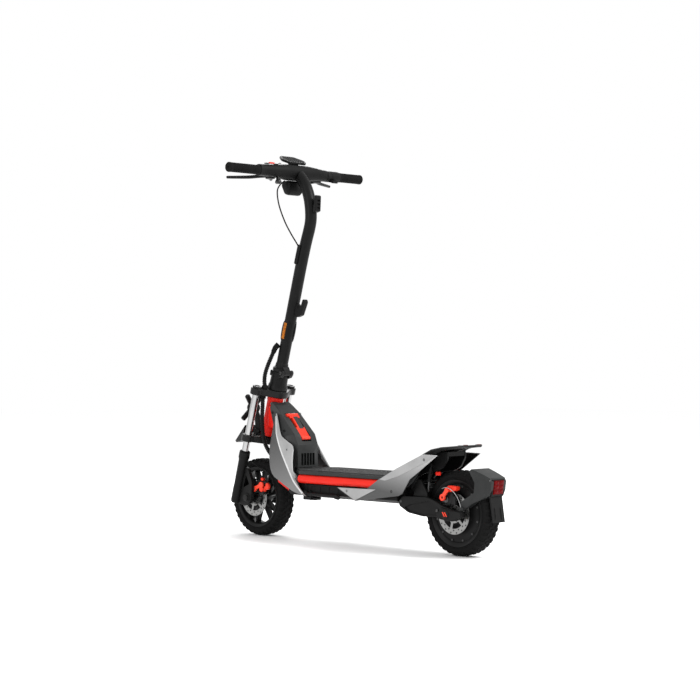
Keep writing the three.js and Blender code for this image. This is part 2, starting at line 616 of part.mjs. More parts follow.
// Calliper over the rear upper edge of the disc, bolted to the left leg.
const frontCaliperAt = { f: FRONT_AXLE.f - 38, t: FRONT_AXLE.t + 46 };
function frontCaliper() {
  const { f, t } = frontCaliperAt;
  const claw = box(f - 22, f + 22, 34, 60, t - 16, t + 28);
  const shoulder = box(f - 27, f - 10, 49, 60, t + 14, t + 34);
  const cover = join(drum(f - 4, t + 6, 21, 46, 60, 28), drum(f - 28, t + 18, 13, 46, 60, 20));
  const slot = box(f - 42, f + 40, ROTOR_Y - 2.5, ROTOR_Y + 5, t - 40, t + 23);
  const mount = prism([[f, t - 4], [f + 4, t + 16], [14, t + 24], [14, t - 20]], 52, 60);
  const tab = box(-2, 14, 52, 66, t - 20, t + 24);
  const legClear = rod([LEG_FORWARD, LEG_Y, -370], [LEG_FORWARD, LEG_Y, -150], 20.6, 24);
  return cut(join(claw, shoulder, cover, mount, tab), slot, legClear);
}
add(fork, 'front_caliper', frontCaliper(), MATT_BLACK);
add(fork, 'front_caliper_arm', leverLink(
  { x: frontCaliperAt.f - 6, z: frontCaliperAt.t + 16 },
  { x: frontCaliperAt.f + 26, z: frontCaliperAt.t - 9 }, 60.4, 65.6,
), ACCENT_ORANGE);

function frontRim() {
  const { f, t } = FRONT_AXLE;
  const barrel = wheelRing([
    [95, -RIM_HALF_WIDTH], [rimOuter, -RIM_HALF_WIDTH], [rimOuter, RIM_HALF_WIDTH], [95, RIM_HALF_WIDTH],
  ], f, t, 36, HEAD_ANGLE);
  const hub = drum(f, t, 27, -38, ROTOR_Y - GAP, 28);
  const spokes = Array.from({ length: 5 }, (_, i) => {
    const angle = (2 * Math.PI * i) / 5;
    const start = [f + 20 * Math.cos(angle), 0, t + 20 * Math.sin(angle)];
    return [-0.24, 0.24].map((spread) => {
      const end = [f + 98 * Math.cos(angle + spread), 0, t + 98 * Math.sin(angle + spread)];
      return rod(start, end, 9, 8);
    });
  }).flat();
  return cut(join(barrel, hub, ...spokes), drum(f, t, hubBore, -60, 60, 20));
}
add(fork, 'front_tyre', tyre(FRONT_AXLE.f, FRONT_AXLE.t, HEAD_ANGLE), TYRE_RUBBER);
add(fork, 'front_rim', frontRim(), MATT_BLACK);
add(fork, 'front_rotor', rotor(FRONT_AXLE.f, FRONT_AXLE.t), STEEL);

// ---------------------------------------------------------------- stem and handlebar
const stemCurve = [
  [0, 172], [0, 260], [0, 400], [0, 540], [-2, 620], [-6, 690],
].map(([f, t]) => [HEAD.x + f * Math.cos(HEAD_ANGLE) - t * Math.sin(HEAD_ANGLE), 0,
  HEAD.z + f * Math.sin(HEAD_ANGLE) + t * Math.cos(HEAD_ANGLE)]);
const stemTopBend = [[235, 0, 1158], [242, 0, 1208], [258, 0, 1250], [283, 0, 1284], [300, 0, 1300]];

function stemTube() {
  const { f, t } = FOLD_PIVOT;
  const column = tube([...stemCurve, ...stemTopBend], 21, 12, 20);
  const flange = inFrame(rod([0, 0, 147.8], [0, 0, 186], 32, 20, 23));
  const knuckle = inFrame(drum(f, t, 10, -14, 14, 14));
  const web = inFrame(prism([
    [f - 8, t + 5], [f, t + 1], [f + 12, t + 1], [-14, 149], [-14, 172], [-24, 168],
  ], -14, 14));
  const knuckleClear = inFrame(drum(f, t, 11, -60, -14.2, 16));
  const knuckleClearLeft = inFrame(drum(f, t, 11, 14.2, 60, 16));
  const pinHole = inFrame(drum(f, t, 4.5, -40, 40, 16));
  const clampClear = drum(BAR.x, BAR.z, 31, -60, 60, 24);
  return cut(join(column, flange, knuckle, web), knuckleClear, knuckleClearLeft, pinHole, clampClear);
}
add(scooter, 'stem_tube', stemTube(), MATT_BLACK);

add(scooter, 'handlebar', drum(BAR.x, BAR.z, 11, -BAR_HALF + 4, BAR_HALF - 4, 20), MATT_BLACK);
const barHole = drum(BAR.x, BAR.z, 11 + GAP, -400, 400, 20);

// Cover over the middle of the bar, wider and thicker at the stem.
function barCover() {
  const section = (y, front, back, top, low) => [
    [BAR.x + front, y, BAR.z + 4], [BAR.x + front * 0.6, y, BAR.z + top],
    [BAR.x - back * 0.6, y, BAR.z + top], [BAR.x - back, y, BAR.z],
    [BAR.x - back * 0.5, y, BAR.z - low], [BAR.x + front * 0.7, y, BAR.z - low],
  ];
  const stations = [
    [180, 19, 19, 21, 19], [90, 26, 24, 25, 21], [42, 36, 26, 29, 25.5], [-42, 36, 26, 29, 25.5],
    [-90, 26, 24, 25, 21], [-140, 19, 19, 21, 19],
  ].map((numbers) => section(...numbers));
  const pieces = stations.slice(1).map((station, i) => hull([...stations[i], ...station]));
  return cut(join(...pieces), barHole);
}
add(scooter, 'bar_cover', barCover(), PLASTIC_BLACK);

// Six-sided display, tilted towards the rider on a short pedestal.
const DISPLAY_TILT = THREE.MathUtils.degToRad(24);
function display() {
  const outline = [[-34, -40], [-34, 40], [-6, 56], [34, 34], [34, -34], [-6, -56]];
  const pad = slab(outline, 0, 9).rotateY(-DISPLAY_TILT);
  pad.translate(BAR.x + 24, 0, BAR.z + 44);
  const pedestal = hull(bothSides([
    [BAR.x + 4, 16, BAR.z + 29.4], [BAR.x + 22, 16, BAR.z + 29.4],
    [BAR.x + 12, 20, BAR.z + 41], [BAR.x + 38, 20, BAR.z + 52],
  ]));
  return join(pad, pedestal);
}
add(scooter, 'display', display(), SCREEN);

add(scooter, 'bar_light', hull(bothSides([
  [352, 34, 1280], [352, 40, 1262], [346, 30, 1232], [322, 30, 1226], [310, 40, 1246], [318, 36, 1280],
])), PLASTIC_BLACK);

for (const [name, side] of [['left', 1], ['right', -1]]) {
  const from = side * (side > 0 ? GRIP_INNER_Y - 24.6 : GRIP_INNER_Y);
  const grip = rod([BAR.x, from, BAR.z], [BAR.x, side * BAR_HALF, BAR.z], GRIP_RADIUS, 24);
  const hole = rod([BAR.x, from - side, BAR.z], [BAR.x, side * (BAR_HALF - 3.6), BAR.z], 11 + GAP, 20);
  add(scooter, `grip_${name}`, cut(grip, hole), PLASTIC_BLACK);
}

// Twist-free thumb throttle: a ring beside the right grip with a short paddle.
function throttle() {
  const ring = drum(BAR.x, BAR.z, 20, -204, -141, 28);
  const paddle = prism([
    [BAR.x - 14, BAR.z - 12], [BAR.x - 34, BAR.z - 20], [BAR.x - 30, BAR.z - 27], [BAR.x - 4, BAR.z - 18],
  ], -176, -152);
  return cut(join(ring, paddle), drum(BAR.x, BAR.z, 11 + GAP, -220, -100, 20));
}
add(scooter, 'throttle', throttle(), PLASTIC_BLACK);

// Turn-signal slider and power button on the left of the cover.
add(scooter, 'turn_switch', box(BAR.x - 16, BAR.x - 4, 118, 138, BAR.z + 24.6, BAR.z + 30), ACCENT_ORANGE);
add(scooter, 'mode_button', rod([BAR.x - 6, 86, BAR.z + 27.4], [BAR.x - 6, 86, BAR.z + 31], 6, 16), STEEL);

// Brake levers: a perch end under the cover and a blade reaching past the fingers.
const LEVER_PIVOT = { x: BAR.x + 38, y: 118 };
function brakeLever(side) {
  const z = BAR.z - 14;
  const y = (value) => side * value;
  const hub = rod([LEVER_PIVOT.x, y(LEVER_PIVOT.y), z - 6], [LEVER_PIVOT.x, y(LEVER_PIVOT.y), z + 6], 9, 16);
  const root = hull([
    [LEVER_PIVOT.x - 6, y(116), z - 5], [LEVER_PIVOT.x + 6, y(116), z - 5],
    [LEVER_PIVOT.x - 6, y(116), z + 5], [LEVER_PIVOT.x + 6, y(116), z + 5],
    [BAR.x + 54, y(168), z - 11], [BAR.x + 66, y(168), z - 11],
    [BAR.x + 54, y(168), z - 1], [BAR.x + 66, y(168), z - 1],
  ]);
  const blade = hull([
    [BAR.x + 54, y(166), z - 11], [BAR.x + 66, y(166), z - 11], [BAR.x + 54, y(166), z - 1],
    [BAR.x + 66, y(166), z - 1], [BAR.x + 84, y(252), z - 14], [BAR.x + 94, y(252), z - 14],
    [BAR.x + 84, y(252), z - 6], [BAR.x + 94, y(252), z - 6],
  ]);
  return join(hub, root, blade);
}
add(scooter, 'brake_lever_left', brakeLever(1), MATT_BLACK);
add(scooter, 'brake_lever_right', brakeLever(-1), MATT_BLACK);

// Folding hook at the top of the stem and the bag hook half way down, both on its back.
const stemBack = (f, t) => [
  HEAD.x + f * Math.cos(HEAD_ANGLE) - t * Math.sin(HEAD_ANGLE),
  HEAD.z + f * Math.sin(HEAD_ANGLE) + t * Math.cos(HEAD_ANGLE),
];
add(scooter, 'stow_bracket', prism([
  [214, 1160], [197, 1164], [194, 1218], [203, 1222], [209, 1190], [211.5, 1186],
], -11, 11), PLASTIC_BLACK);
add(scooter, 'bag_hook', prism([
  stemBack(-22, 404), stemBack(-22, 362), stemBack(-36, 358), stemBack(-56, 371), stemBack(-64, 421),
  stemBack(-57, 430), stemBack(-48, 427), stemBack(-45, 396), stemBack(-37, 386), stemBack(-30, 392),
  stemBack(-30, 404),
], -8, 8), PLASTIC_BLACK);

// ---------------------------------------------------------------- cables
// Brake cable from the left lever to its guide on the stem.
add(scooter, 'brake_cable', tube([
  [322, 47, 1277], [320, 71, 1261], [318, 86, 1236], [305, 89, 1186], [290, 75, 1128], [278, 56, 1085],
  [269, 32, 1045], [272, 26, 1030],
], 2.6, 8, 18), PLASTIC_BLACK);

// Corrugated sleeve: out of the stem, over the folding joint to a clip on the upper crown.
add(scooter, 'harness_upper', tube([
  [392, 30, 680], [406, 36, 648], [420, 41, 616], [428, 46, 586], [427, 50, 562], [422, 52, 540],
], 8, 8, 14), PLASTIC_BLACK);
// From the crown clip down beside the head tube and in behind the left fairing.
add(scooter, 'harness_lower', tube([
  [429, 56, 502], [428, 58, 470], [428, 60, 421], [421, 60, 360], [404, 58, 322], [380, 56, 298],
  [352, 54, 286],
], 8, 8, 18), PLASTIC_BLACK);

export default scooter;
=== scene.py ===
"""Looks of the electric kick scooter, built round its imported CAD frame.

The frame is in metres, +X forward, +Y to the rider's left, +Z up. Shapes are drawn in
millimetres, in the scooter's own axes or in those of its tilted fork, and placed in the frame.
"""
import math

import bmesh
import bpy
from mathutils import Matrix, Vector


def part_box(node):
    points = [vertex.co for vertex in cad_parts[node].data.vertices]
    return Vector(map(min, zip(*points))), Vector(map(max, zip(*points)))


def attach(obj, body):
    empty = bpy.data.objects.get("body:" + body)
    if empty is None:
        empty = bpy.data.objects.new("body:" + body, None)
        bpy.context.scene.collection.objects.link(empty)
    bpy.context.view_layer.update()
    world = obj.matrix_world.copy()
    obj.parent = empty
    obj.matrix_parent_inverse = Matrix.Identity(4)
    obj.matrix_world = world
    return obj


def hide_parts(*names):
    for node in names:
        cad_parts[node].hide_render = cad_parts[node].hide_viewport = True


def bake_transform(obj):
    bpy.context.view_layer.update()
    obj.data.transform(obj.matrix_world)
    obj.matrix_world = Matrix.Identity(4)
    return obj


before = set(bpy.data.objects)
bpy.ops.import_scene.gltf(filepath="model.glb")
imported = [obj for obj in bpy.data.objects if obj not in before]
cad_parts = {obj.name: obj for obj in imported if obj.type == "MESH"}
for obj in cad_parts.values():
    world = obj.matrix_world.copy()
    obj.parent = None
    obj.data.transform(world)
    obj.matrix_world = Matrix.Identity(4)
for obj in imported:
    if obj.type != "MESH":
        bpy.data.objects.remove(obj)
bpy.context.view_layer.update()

AHEAD, LEFT, UP = (1, 0, 0), (0, 1, 0), (0, 0, 1)

# ------------------------------------------------------------------ driving dimensions, in mm
HEAD = (435, 0, 456)
HEAD_ANGLE = math.radians(16)
LEG_Y = 80
LEG_FORWARD = 20
FOLD = (-30, 148)
BAR_X, BAR_Z = 312, 1306
BAR_HALF = 320.5
PANEL_Y = 103.5
RAIL_Y, RAIL_Z = 88, 223
PIVOT = (-305, 163)
ROTOR_Y = 42
LEG_BORE = 12.9
LEG_EYE = 22  # radius of a crown's eye round a fork leg
AXLE_BORE = 8.4
SIDES = (("left", 1), ("right", -1))
SHARP = 0.01  # how far the edge of a cutting tool is softened

SHIFT_AHEAD = 0.0105
METRES = 0.001
SCOOTER = Matrix.Translation((SHIFT_AHEAD, 0, 0)) @ Matrix.Scale(METRES, 4)
HEAD_AXES = Matrix.Translation(HEAD) @ Matrix.Rotation(-HEAD_ANGLE, 4, "Y")
FORK = SCOOTER @ Matrix.Translation(HEAD) @ Matrix.Rotation(-HEAD_ANGLE, 4, "Y")


def centre_of(node, space=SCOOTER):
    low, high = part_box(node)
    return space.inverted() @ ((low + high) / 2)


FRONT_HUB = centre_of("front_tyre")
REAR_HUB = centre_of("rear_tyre")


# ------------------------------------------------------------------ making meshes
def turn(step, count):
    """The angle of one step out of a full circle of steps."""
    return 2 * math.pi * step / count


def solid(vertices, faces):
    mesh = bpy.data.meshes.new("shape")
    mesh.from_pydata([tuple(v) for v in vertices], [], faces)
    work = bmesh.new()
    work.from_mesh(mesh)
    bmesh.ops.recalc_face_normals(work, faces=work.faces)
    work.to_mesh(mesh)
    work.free()
    return mesh


def loft(sections, round_trip=False):
    """Skins a row of loops that all have the same number of points, and caps both ends."""
    count = len(sections[0])
    vertices = [point for section in sections for point in section]
    faces = []
    rows = len(sections)
    for row in range(rows if round_trip else rows - 1):
        a = row * count
        b = ((row + 1) % rows) * count
        for i in range(count):
            j = (i + 1) % count
            faces.append((a + i, a + j, b + j, b + i))
    if not round_trip:
        faces.append(tuple(range(count)))
        faces.append(tuple(range((rows - 1) * count, rows * count)))
    return solid(vertices, faces)


def prism(outline, y0, y1):
    return loft([[(x, y, z) for x, z in outline] for y in (y0, y1)])


def slab(outline, z0, z1):
    return loft([[(x, y, z) for x, y in outline] for z in (z0, z1)])


def bar(section, x0, x1):
    return loft([[(x, y, z) for y, z in section] for x in (x0, x1)])


def block(x0, x1, y0, y1, z0, z1):
    return prism([(x0, z0), (x1, z0), (x1, z1), (x0, z1)], y0, y1)


def hull(points):
    work = bmesh.new()
    for point in points:
        work.verts.new(point)
    result = bmesh.ops.convex_hull(work, input=work.verts)
    spare = {v for v in result["geom_interior"] if isinstance(v, bmesh.types.BMVert)}
    bmesh.ops.delete(work, geom=list(spare), context="VERTS")
    bmesh.ops.dissolve_limit(work, angle_limit=0.01, verts=work.verts, edges=work.edges)
    mesh = bpy.data.meshes.new("hull")
    work.to_mesh(mesh)
    work.free()
    return mesh


def both(points):
    return [(x, side * y, z) for x, y, z in points for side in (1, -1)]


def across(axis):
    """Two unit vectors square to an axis and to each other."""
    axis = Vector(axis).normalized()
    helper = Vector(UP) if abs(axis.z) < 0.9 else Vector(AHEAD)
    first = axis.cross(helper).normalized()
    return first, axis.cross(first).normalized()


def spin(profile, origin=(0, 0, 0), axis=UP, segments=64):
    """A turned solid from a closed loop of (radius, height) points round an axis."""
    origin = Vector(origin)
    axis = Vector(axis).normalized()
    first, second = across(axis)
    sections = []
    for i in range(segments):
        angle = turn(i, segments)
        outward = first * math.cos(angle) + second * math.sin(angle)
        sections.append([origin + outward * r + axis * h for r, h in profile])
    return loft(sections, round_trip=True)


def rod(start, end, radius, sides=32, end_radius=None, soft=1.0):
    """A round bar with softened ends, tapering if it has an end radius of its own."""
    start, end = Vector(start), Vector(end)
    end_radius = radius if end_radius is None else end_radius
    axis = (end - start).normalized()
    length = (end - start).length
    soft = min(soft, radius * 0.4, end_radius * 0.4, length * 0.3)
    rings = [(radius - soft, 0), (radius, soft), (end_radius, length - soft), (end_radius - soft, length)]
    first, second = across(axis)
    sections = []
    for r, h in rings:
        ring = []
        for i in range(sides):
            angle = turn(i, sides)
            ring.append(start + axis * h + (first * math.cos(angle) + second * math.sin(angle)) * r)
        sections.append(ring)
    return loft(sections)


def drum(x, z, radius, y0, y1, sides=40, soft=1.0):
    return rod((x, y0, z), (x, y1, z), radius, sides, soft=soft)


def smooth_path(points, count):
    """Points spread evenly along a Catmull-Rom curve."""
    points = [Vector(p) for p in points]
    ends = [2 * points[0] - points[1]] + points + [2 * points[-1] - points[-2]]
    fine = []
    for i in range(1, len(ends) - 2):
        p0, p1, p2, p3 = ends[i - 1:i + 3]
        for step in range(20):
            t = step / 20
            fine.append(0.5 * (2 * p1 + (p2 - p0) * t + (2 * p0 - 5 * p1 + 4 * p2 - p3) * t * t
                               + (3 * p1 - p0 - 3 * p2 + p3) * t ** 3))
    fine.append(points[-1])
    return even(fine, count)


def even(points, count):
    """Points spread evenly along a chain of straight lines."""
    points = [Vector(p) for p in points]
    lengths = [0.0]
    for a, b in zip(points, points[1:]):
        lengths.append(lengths[-1] + (b - a).length)
    result = []
    place_in_chain = 0
    for i in range(count):
        wanted = lengths[-1] * i / (count - 1)
        while place_in_chain < len(points) - 2 and lengths[place_in_chain + 1] < wanted:
            place_in_chain += 1
        a, b = points[place_in_chain], points[place_in_chain + 1]
        span = lengths[place_in_chain + 1] - lengths[place_in_chain]
        share = 0 if span == 0 else (wanted - lengths[place_in_chain]) / span
        result.append(a.lerp(b, min(1.0, share)))
    return result


def sweep(path, size, sides=16, up=LEFT):
    """A bar along a path. size(share) gives its half width along up, and across it."""
    sections = []
    last = len(path) - 1
    for i, point in enumerate(path):
        along = (path[min(i + 1, last)] - path[max(i - 1, 0)]).normalized()
        side = along.cross(Vector(up)).normalized()
        top = side.cross(along).normalized()
        high, wide = size(i / last)
        ring = []
        for k in range(sides):
            angle = turn(k, sides)
            ring.append(point + top * high * math.cos(angle) + side * wide * math.sin(angle))
        sections.append(ring)
    return loft(sections)


def rounded(outline, radius, steps=3):
    """An outline of two-number points with its corners rounded."""
    result = []
    count = len(outline)
    for i, corner in enumerate(outline):
        corner = Vector(corner)
        before = Vector(outline[i - 1]) - corner
        after = Vector(outline[(i + 1) % count]) - corner
        reach = min(radius, before.length * 0.45, after.length * 0.45)
        a = corner + before.normalized() * reach
        b = corner + after.normalized() * reach
        for step in range(steps + 1):
            t = step / steps
            result.append(tuple(a * (1 - t) ** 2 + corner * 2 * t * (1 - t) + b * t * t))
    return result


def evaluated(mesh, steps):
    """The mesh that a list of modifiers makes of this one."""
    piece = bpy.data.objects.new("work", mesh)
    bpy.context.scene.collection.objects.link(piece)
    for kind, settings in steps:
        step = piece.modifiers.new(kind.lower(), kind)
        for key, value in settings.items():
            setattr(step, key, value)
    graph = bpy.context.evaluated_depsgraph_get()
    result = bpy.data.meshes.new_from_object(piece.evaluated_get(graph), depsgraph=graph)
    bpy.data.objects.remove(piece)
    return result


def boolean(operation, first, others):
    tools = []
    for other in others:
        tool = bpy.data.objects.new("tool", other)
        bpy.context.scene.collection.objects.link(tool)
        tools.append(tool)
    settings = [{"operation": operation, "object": tool, "solver": "EXACT"} for tool in tools]
    result = evaluated(first, [("BOOLEAN", one) for one in settings])
    for tool in tools:
        bpy.data.objects.remove(tool)
    return result


def join(first, *others):
    return boolean("UNION", first, others)


def cut(first, *others):
    return boolean("DIFFERENCE", first, others)


def within(first, *others):
    return boolean("INTERSECT", first, others)


def gathered(*meshes):
    """Separate closed bodies in one mesh, such as a ring of bolts."""
    work = bmesh.new()
    for mesh in meshes:
        work.from_mesh(mesh)
    result = bpy.data.meshes.new("gathered")
    work.to_mesh(result)
    work.free()
    return result


def soften(mesh, width, segments=3, angle=32):
    """Rounds every edge sharper than an angle."""
    work = bmesh.new()
    work.from_mesh(mesh)
    bmesh.ops.dissolve_limit(work, angle_limit=math.radians(0.5), verts=work.verts, edges=work.edges)
    work.to_mesh(mesh)
    work.free()
    return evaluated(mesh, [("BEVEL", {
        "width": width, "segments": segments, "limit_method": "ANGLE",
        "angle_limit": math.radians(angle), "use_clamp_overlap": True,
    })])


def chamfer(mesh, width, chosen):
    """Cuts off the edges whose two ends are both chosen."""
    work = bmesh.new()
    work.from_mesh(mesh)
    edges = [e for e in work.edges if all(chosen(v.co) for v in e.verts)]
    bmesh.ops.bevel(work, geom=edges, offset=width, segments=1, affect="EDGES", profile=0.5)
    work.to_mesh(mesh)
    work.free()
    return mesh


def mirrored(mesh):
    copy = mesh.copy()
    copy.transform(Matrix.Scale(-1, 4, LEFT))
    copy.flip_normals()
    return copy


def handed(mesh, side):
    """A mesh drawn for the left side, copied for that side or mirrored for the right one."""
    return mirrored(mesh) if side == "right" else mesh.copy()


def on_side(side, near, far):
    """The lower and upper y of a part between two distances from the middle."""
    return (near, far) if side > 0 else (-far, -near)


def finished(name, mesh, material, replaces, at, crisp):
    """Makes a piece of a mesh: in the frame's metres, shaded, with its material, hiding the CAD nodes it
    replaces.
    """
    mesh.transform(at)
    work = bmesh.new()
    work.from_mesh(mesh)
    for edge in work.edges:
        edge.smooth = edge.is_manifold and edge.calc_face_angle(0) < math.radians(crisp)
    for face in work.faces:
        face.smooth = True
        face.material_index = 0
    work.to_mesh(mesh)
    work.free()
    mesh = evaluated(mesh, [("WEIGHTED_NORMAL", {"keep_sharp": True})])
    mesh.name = name
    mesh.materials.clear()
    mesh.materials.append(material)
    piece = bpy.data.objects.new(name, mesh)
    bpy.context.scene.collection.objects.link(piece)
    if replaces:
        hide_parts(*replaces)
    return piece


def place(name, mesh, body, material, replaces=(), at=SCOOTER, crisp=38):
    """Puts a finished mesh in the frame as a piece that rides on a CAD body."""
    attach(finished(name, mesh, material, replaces, at, crisp), body)


def place_bending(name, mesh, material, replaces):
    """Puts in a piece that is attached to no body, with its transform baked into its mesh."""
    piece = finished(name, mesh, material, replaces, SCOOTER, 70)
    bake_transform(piece)


# ------------------------------------------------------------------ materials
def node_of(tree, kind, **inputs):
    node = tree.nodes.new(kind)
    for key, value in inputs.items():
        node.inputs[key.replace("_", " ")].default_value = value
    return node


def wire(tree, source, output, target, socket):
    tree.links.new(source.outputs[output], target.inputs[socket])


def from_object(tree, *textures):
    """Leads the piece's own coordinates to some textures."""
    source = tree.nodes.new("ShaderNodeTexCoord")
    for texture in textures:
        wire(tree, source, "Object", texture, "Vector")


def mapped(tree, texture, setting, value):
    """Leads the piece's own coordinates to a texture, moved or scaled."""
    mapping = tree.nodes.new("ShaderNodeMapping")
    mapping.inputs[setting].default_value = value
    from_object(tree, mapping)
    wire(tree, mapping, "Vector", texture, "Vector")


def two_tones(tree, source, output, first, second, start=0.0, end=1.0):
    """A ramp from one tone to another, driven by an output of a node."""
    ramp = tree.nodes.new("ShaderNodeValToRGB")
    for element, position, tone in zip(ramp.color_ramp.elements, (start, end), (first, second)):
        element.position = position
        element.color = (*tone, 1)
    wire(tree, source, output, ramp, "Fac")
    return ramp.outputs["Color"]


def scaled_sum(tree, first, factor, second):
    """The output of a node that works out first * factor + second."""
    node = tree.nodes.new("ShaderNodeMath")
    node.operation = "MULTIPLY_ADD"
    tree.links.new(first, node.inputs[0])
    node.inputs[1].default_value = factor
    tree.links.new(second, node.inputs[2])
    return node.outputs["Value"]


def base_material(name, slot, roughness, metallic, coat=0.0, specular=0.5):
    material = bpy.data.materials.new(name)
    material.use_nodes = True
    material["slot"] = slot
    shader = material.node_tree.nodes["Principled BSDF"]
    settings = {"Metallic": metallic, "Roughness": roughness, "Coat Weight": coat, "Coat Roughness": 0.12,
                "Specular IOR Level": specular}
    for key, value in settings.items():
        shader.inputs[key].default_value = value
    return material, material.node_tree, shader


def add_bump(tree, shader, source, output, strength, distance):
    bump = node_of(tree, "ShaderNodeBump", Strength=strength, Distance=distance)
    wire(tree, source, output, bump, "Height")
    wire(tree, bump, "Normal", shader, "Normal")


def vary_roughness(tree, shader, noise, low, high):
    spread = node_of(tree, "ShaderNodeMapRange", To_Min=low, To_Max=high)
    wire(tree, noise, "Fac", spread, "Value")
    wire(tree, spread, "Result", shader, "Roughness")


def worn_and_highlit_edges(tree, color, tone, amount):
    """Lightens the convex edges, where handling rubs them and as a painted highlight along the bevels."""
    shape = tree.nodes.new("ShaderNodeNewGeometry")
    pick = node_of(tree, "ShaderNodeMapRange", From_Min=0.53, From_Max=0.62, To_Min=0.0, To_Max=amount)
    wire(tree, shape, "Pointiness", pick, "Value")
    blend = tree.nodes.new("ShaderNodeMix")
    blend.data_type = "RGBA"
    factor, first, second = blend.inputs[0], blend.inputs[6], blend.inputs[7]
    tree.links.new(pick.outputs["Result"], factor)
    tree.links.new(color, first)
    second.default_value = (*tone, 1)
    return blend.outputs[2]


def coated(name, slot, dark, light, roughness, metallic=0.0, grain=1500, depth=0.0001, coat=0.0, edge=None,
           specular=0.5):
    """Paint or moulded plastic: drifting tone, uneven gloss, fine grain, and edges lightened as rubbed wear
    and painted highlight.
    """
    material, tree, shader = base_material(name, slot, roughness, metallic, coat, specular)
    drift = node_of(tree, "ShaderNodeTexNoise", Scale=14.0, Detail=4.0, Roughness=0.6)
    fine = node_of(tree, "ShaderNodeTexNoise", Scale=grain, Detail=2.0)
    from_object(tree, drift, fine)
    color = two_tones(tree, drift, "Fac", dark, light, 0.35, 0.68)
    # edge is the tone of the lightened edges: rubbed wear and a painted highlight.
    if edge:
        color = worn_and_highlit_edges(tree, color, edge, 0.6)
    tree.links.new(color, shader.inputs["Base Color"])
    vary_roughness(tree, shader, drift, roughness * 0.85, roughness * 1.15)
    add_bump(tree, shader, fine, "Fac", 0.35, depth)
    return material


def brushed(name, slot, dark, light, roughness, stretch):
    """Bare metal with fine lines, from a noise scaled differently along each axis."""
    material, tree, shader = base_material(name, slot, roughness, 1.0)
    noise = node_of(tree, "ShaderNodeTexNoise", Scale=60.0, Detail=6.0)
    mapped(tree, noise, "Scale", stretch)
    tree.links.new(two_tones(tree, noise, "Fac", dark, light), shader.inputs["Base Color"])
    vary_roughness(tree, shader, noise, roughness * 0.7, roughness * 1.3)
    add_bump(tree, shader, noise, "Fac", 0.2, 0.00005)
    return material


def disc_steel(name, hub):
    """Ground steel with circular lines round a wheel's axle."""
    material, tree, shader = base_material(name, "steel", 0.28, 1.0)
    rings = node_of(tree, "ShaderNodeTexWave", Scale=140.0, Distortion=1.5, Detail=3.0)
    rings.wave_type = "RINGS"
    rings.rings_direction = "Y"
    mapped(tree, rings, "Location", (-hub.x, 0, -hub.z))
    color = two_tones(tree, rings, "Fac", (0.17, 0.17, 0.17), (0.34, 0.34, 0.33))
    tree.links.new(color, shader.inputs["Base Color"])
    vary_roughness(tree, shader, rings, 0.22, 0.38)
    add_bump(tree, shader, rings, "Fac", 0.15, 0.00005)
    return material


def cellular(name, slot, dark, light, roughness, scale, depth, coat):
    """Moulded lens or reflector: small bright cells."""
    material, tree, shader = base_material(name, slot, roughness, 0.0, coat, specular=0.06)
    cells = node_of(tree, "ShaderNodeTexVoronoi", Scale=scale)
    from_object(tree, cells)
    color = two_tones(tree, cells, "Distance", light, dark, 0.0, 0.75)
    tree.links.new(color, shader.inputs["Base Color"])
    add_bump(tree, shader, cells, "Distance", 0.6, depth)
    return material


def panel_painted_light(name, low, high, slope, start, end):
    """Satin panel with painted light and shade: its tone runs across slope * x + z, from start to end, over
    a fine grain.
    """
    material, tree, shader = base_material(name, "panel_grey", 0.42, 0.35, 0.1)
    split = tree.nodes.new("ShaderNodeSeparateXYZ")
    noise = node_of(tree, "ShaderNodeTexNoise", Scale=900.0, Detail=3.0)
    from_object(tree, split, noise)
    reach = node_of(tree, "ShaderNodeMapRange", From_Min=start, From_Max=end)
    tree.links.new(scaled_sum(tree, split.outputs["X"], slope, split.outputs["Z"]), reach.inputs["Value"])
    ramp = tree.nodes.new("ShaderNodeValToRGB")
    ramp.color_ramp.elements[0].color = (*low, 1)
    ramp.color_ramp.elements[1].color = (*high, 1)
    grained = scaled_sum(tree, noise.outputs["Fac"], 0.12, reach.outputs["Result"])
    tree.links.new(grained, ramp.inputs["Fac"])
    wire(tree, ramp, "Color", shader, "Base Color")
    vary_roughness(tree, shader, noise, 0.36, 0.5)
    add_bump(tree, shader, noise, "Fac", 0.2, 0.00006)
    return material


def grey(value):
    return (value, value, value)


# The edge tones lighten convex edges, as rubbed wear and as a painted highlight along the bevels.
RED = coated("red_paint", "frame_red", (0.62, 0.008, 0.004), (0.74, 0.014, 0.006), 0.36, coat=0.04,
             grain=700, depth=0.00004, edge=(0.82, 0.04, 0.02), specular=0.14)
BLACK = coated("powder_black", "matt_black", grey(0.0030), grey(0.0058), 0.42, grain=1300,
               edge=grey(0.020), specular=0.13)
ALLOY_BLACK = coated("anodised_black", "matt_black", grey(0.0042), grey(0.0075), 0.36,
                     grain=900, depth=0.00005, edge=grey(0.028), specular=0.18)
PLASTIC = coated("moulded_black", "black_plastic", grey(0.0034), grey(0.0062), 0.5,
                 grain=1600, depth=0.00012, edge=grey(0.016), specular=0.11)
GRIP_RUBBER = coated("grip_rubber", "black_plastic", grey(0.0038), grey(0.0070), 0.7,
                     grain=1100, depth=0.0002, specular=0.09)
SHROUD = coated("moulded_grey", "shroud_grey", (0.017, 0.018, 0.018), (0.024, 0.025, 0.025), 0.5,
                grain=1400, depth=0.00012, edge=grey(0.060), specular=0.2)
DECK = coated("deck_rubber", "deck_rubber", grey(0.019), grey(0.028), 0.74, grain=900, depth=0.0003,
              specular=0.25)
TYRE = coated("tyre_rubber", "tyre", grey(0.0036), grey(0.0068), 0.78, grain=600, depth=0.0003,
              edge=grey(0.012), specular=0.09)
ORANGE = coated("orange_coat", "accent_orange", (0.68, 0.024, 0.008), (0.78, 0.036, 0.013), 0.36,
                coat=0.05, grain=800, depth=0.00004, edge=(0.90, 0.08, 0.04), specular=0.18)
PALE = coated("pale_trim", "panel_grey", grey(0.52), grey(0.62), 0.4, grain=900, depth=0.00005)
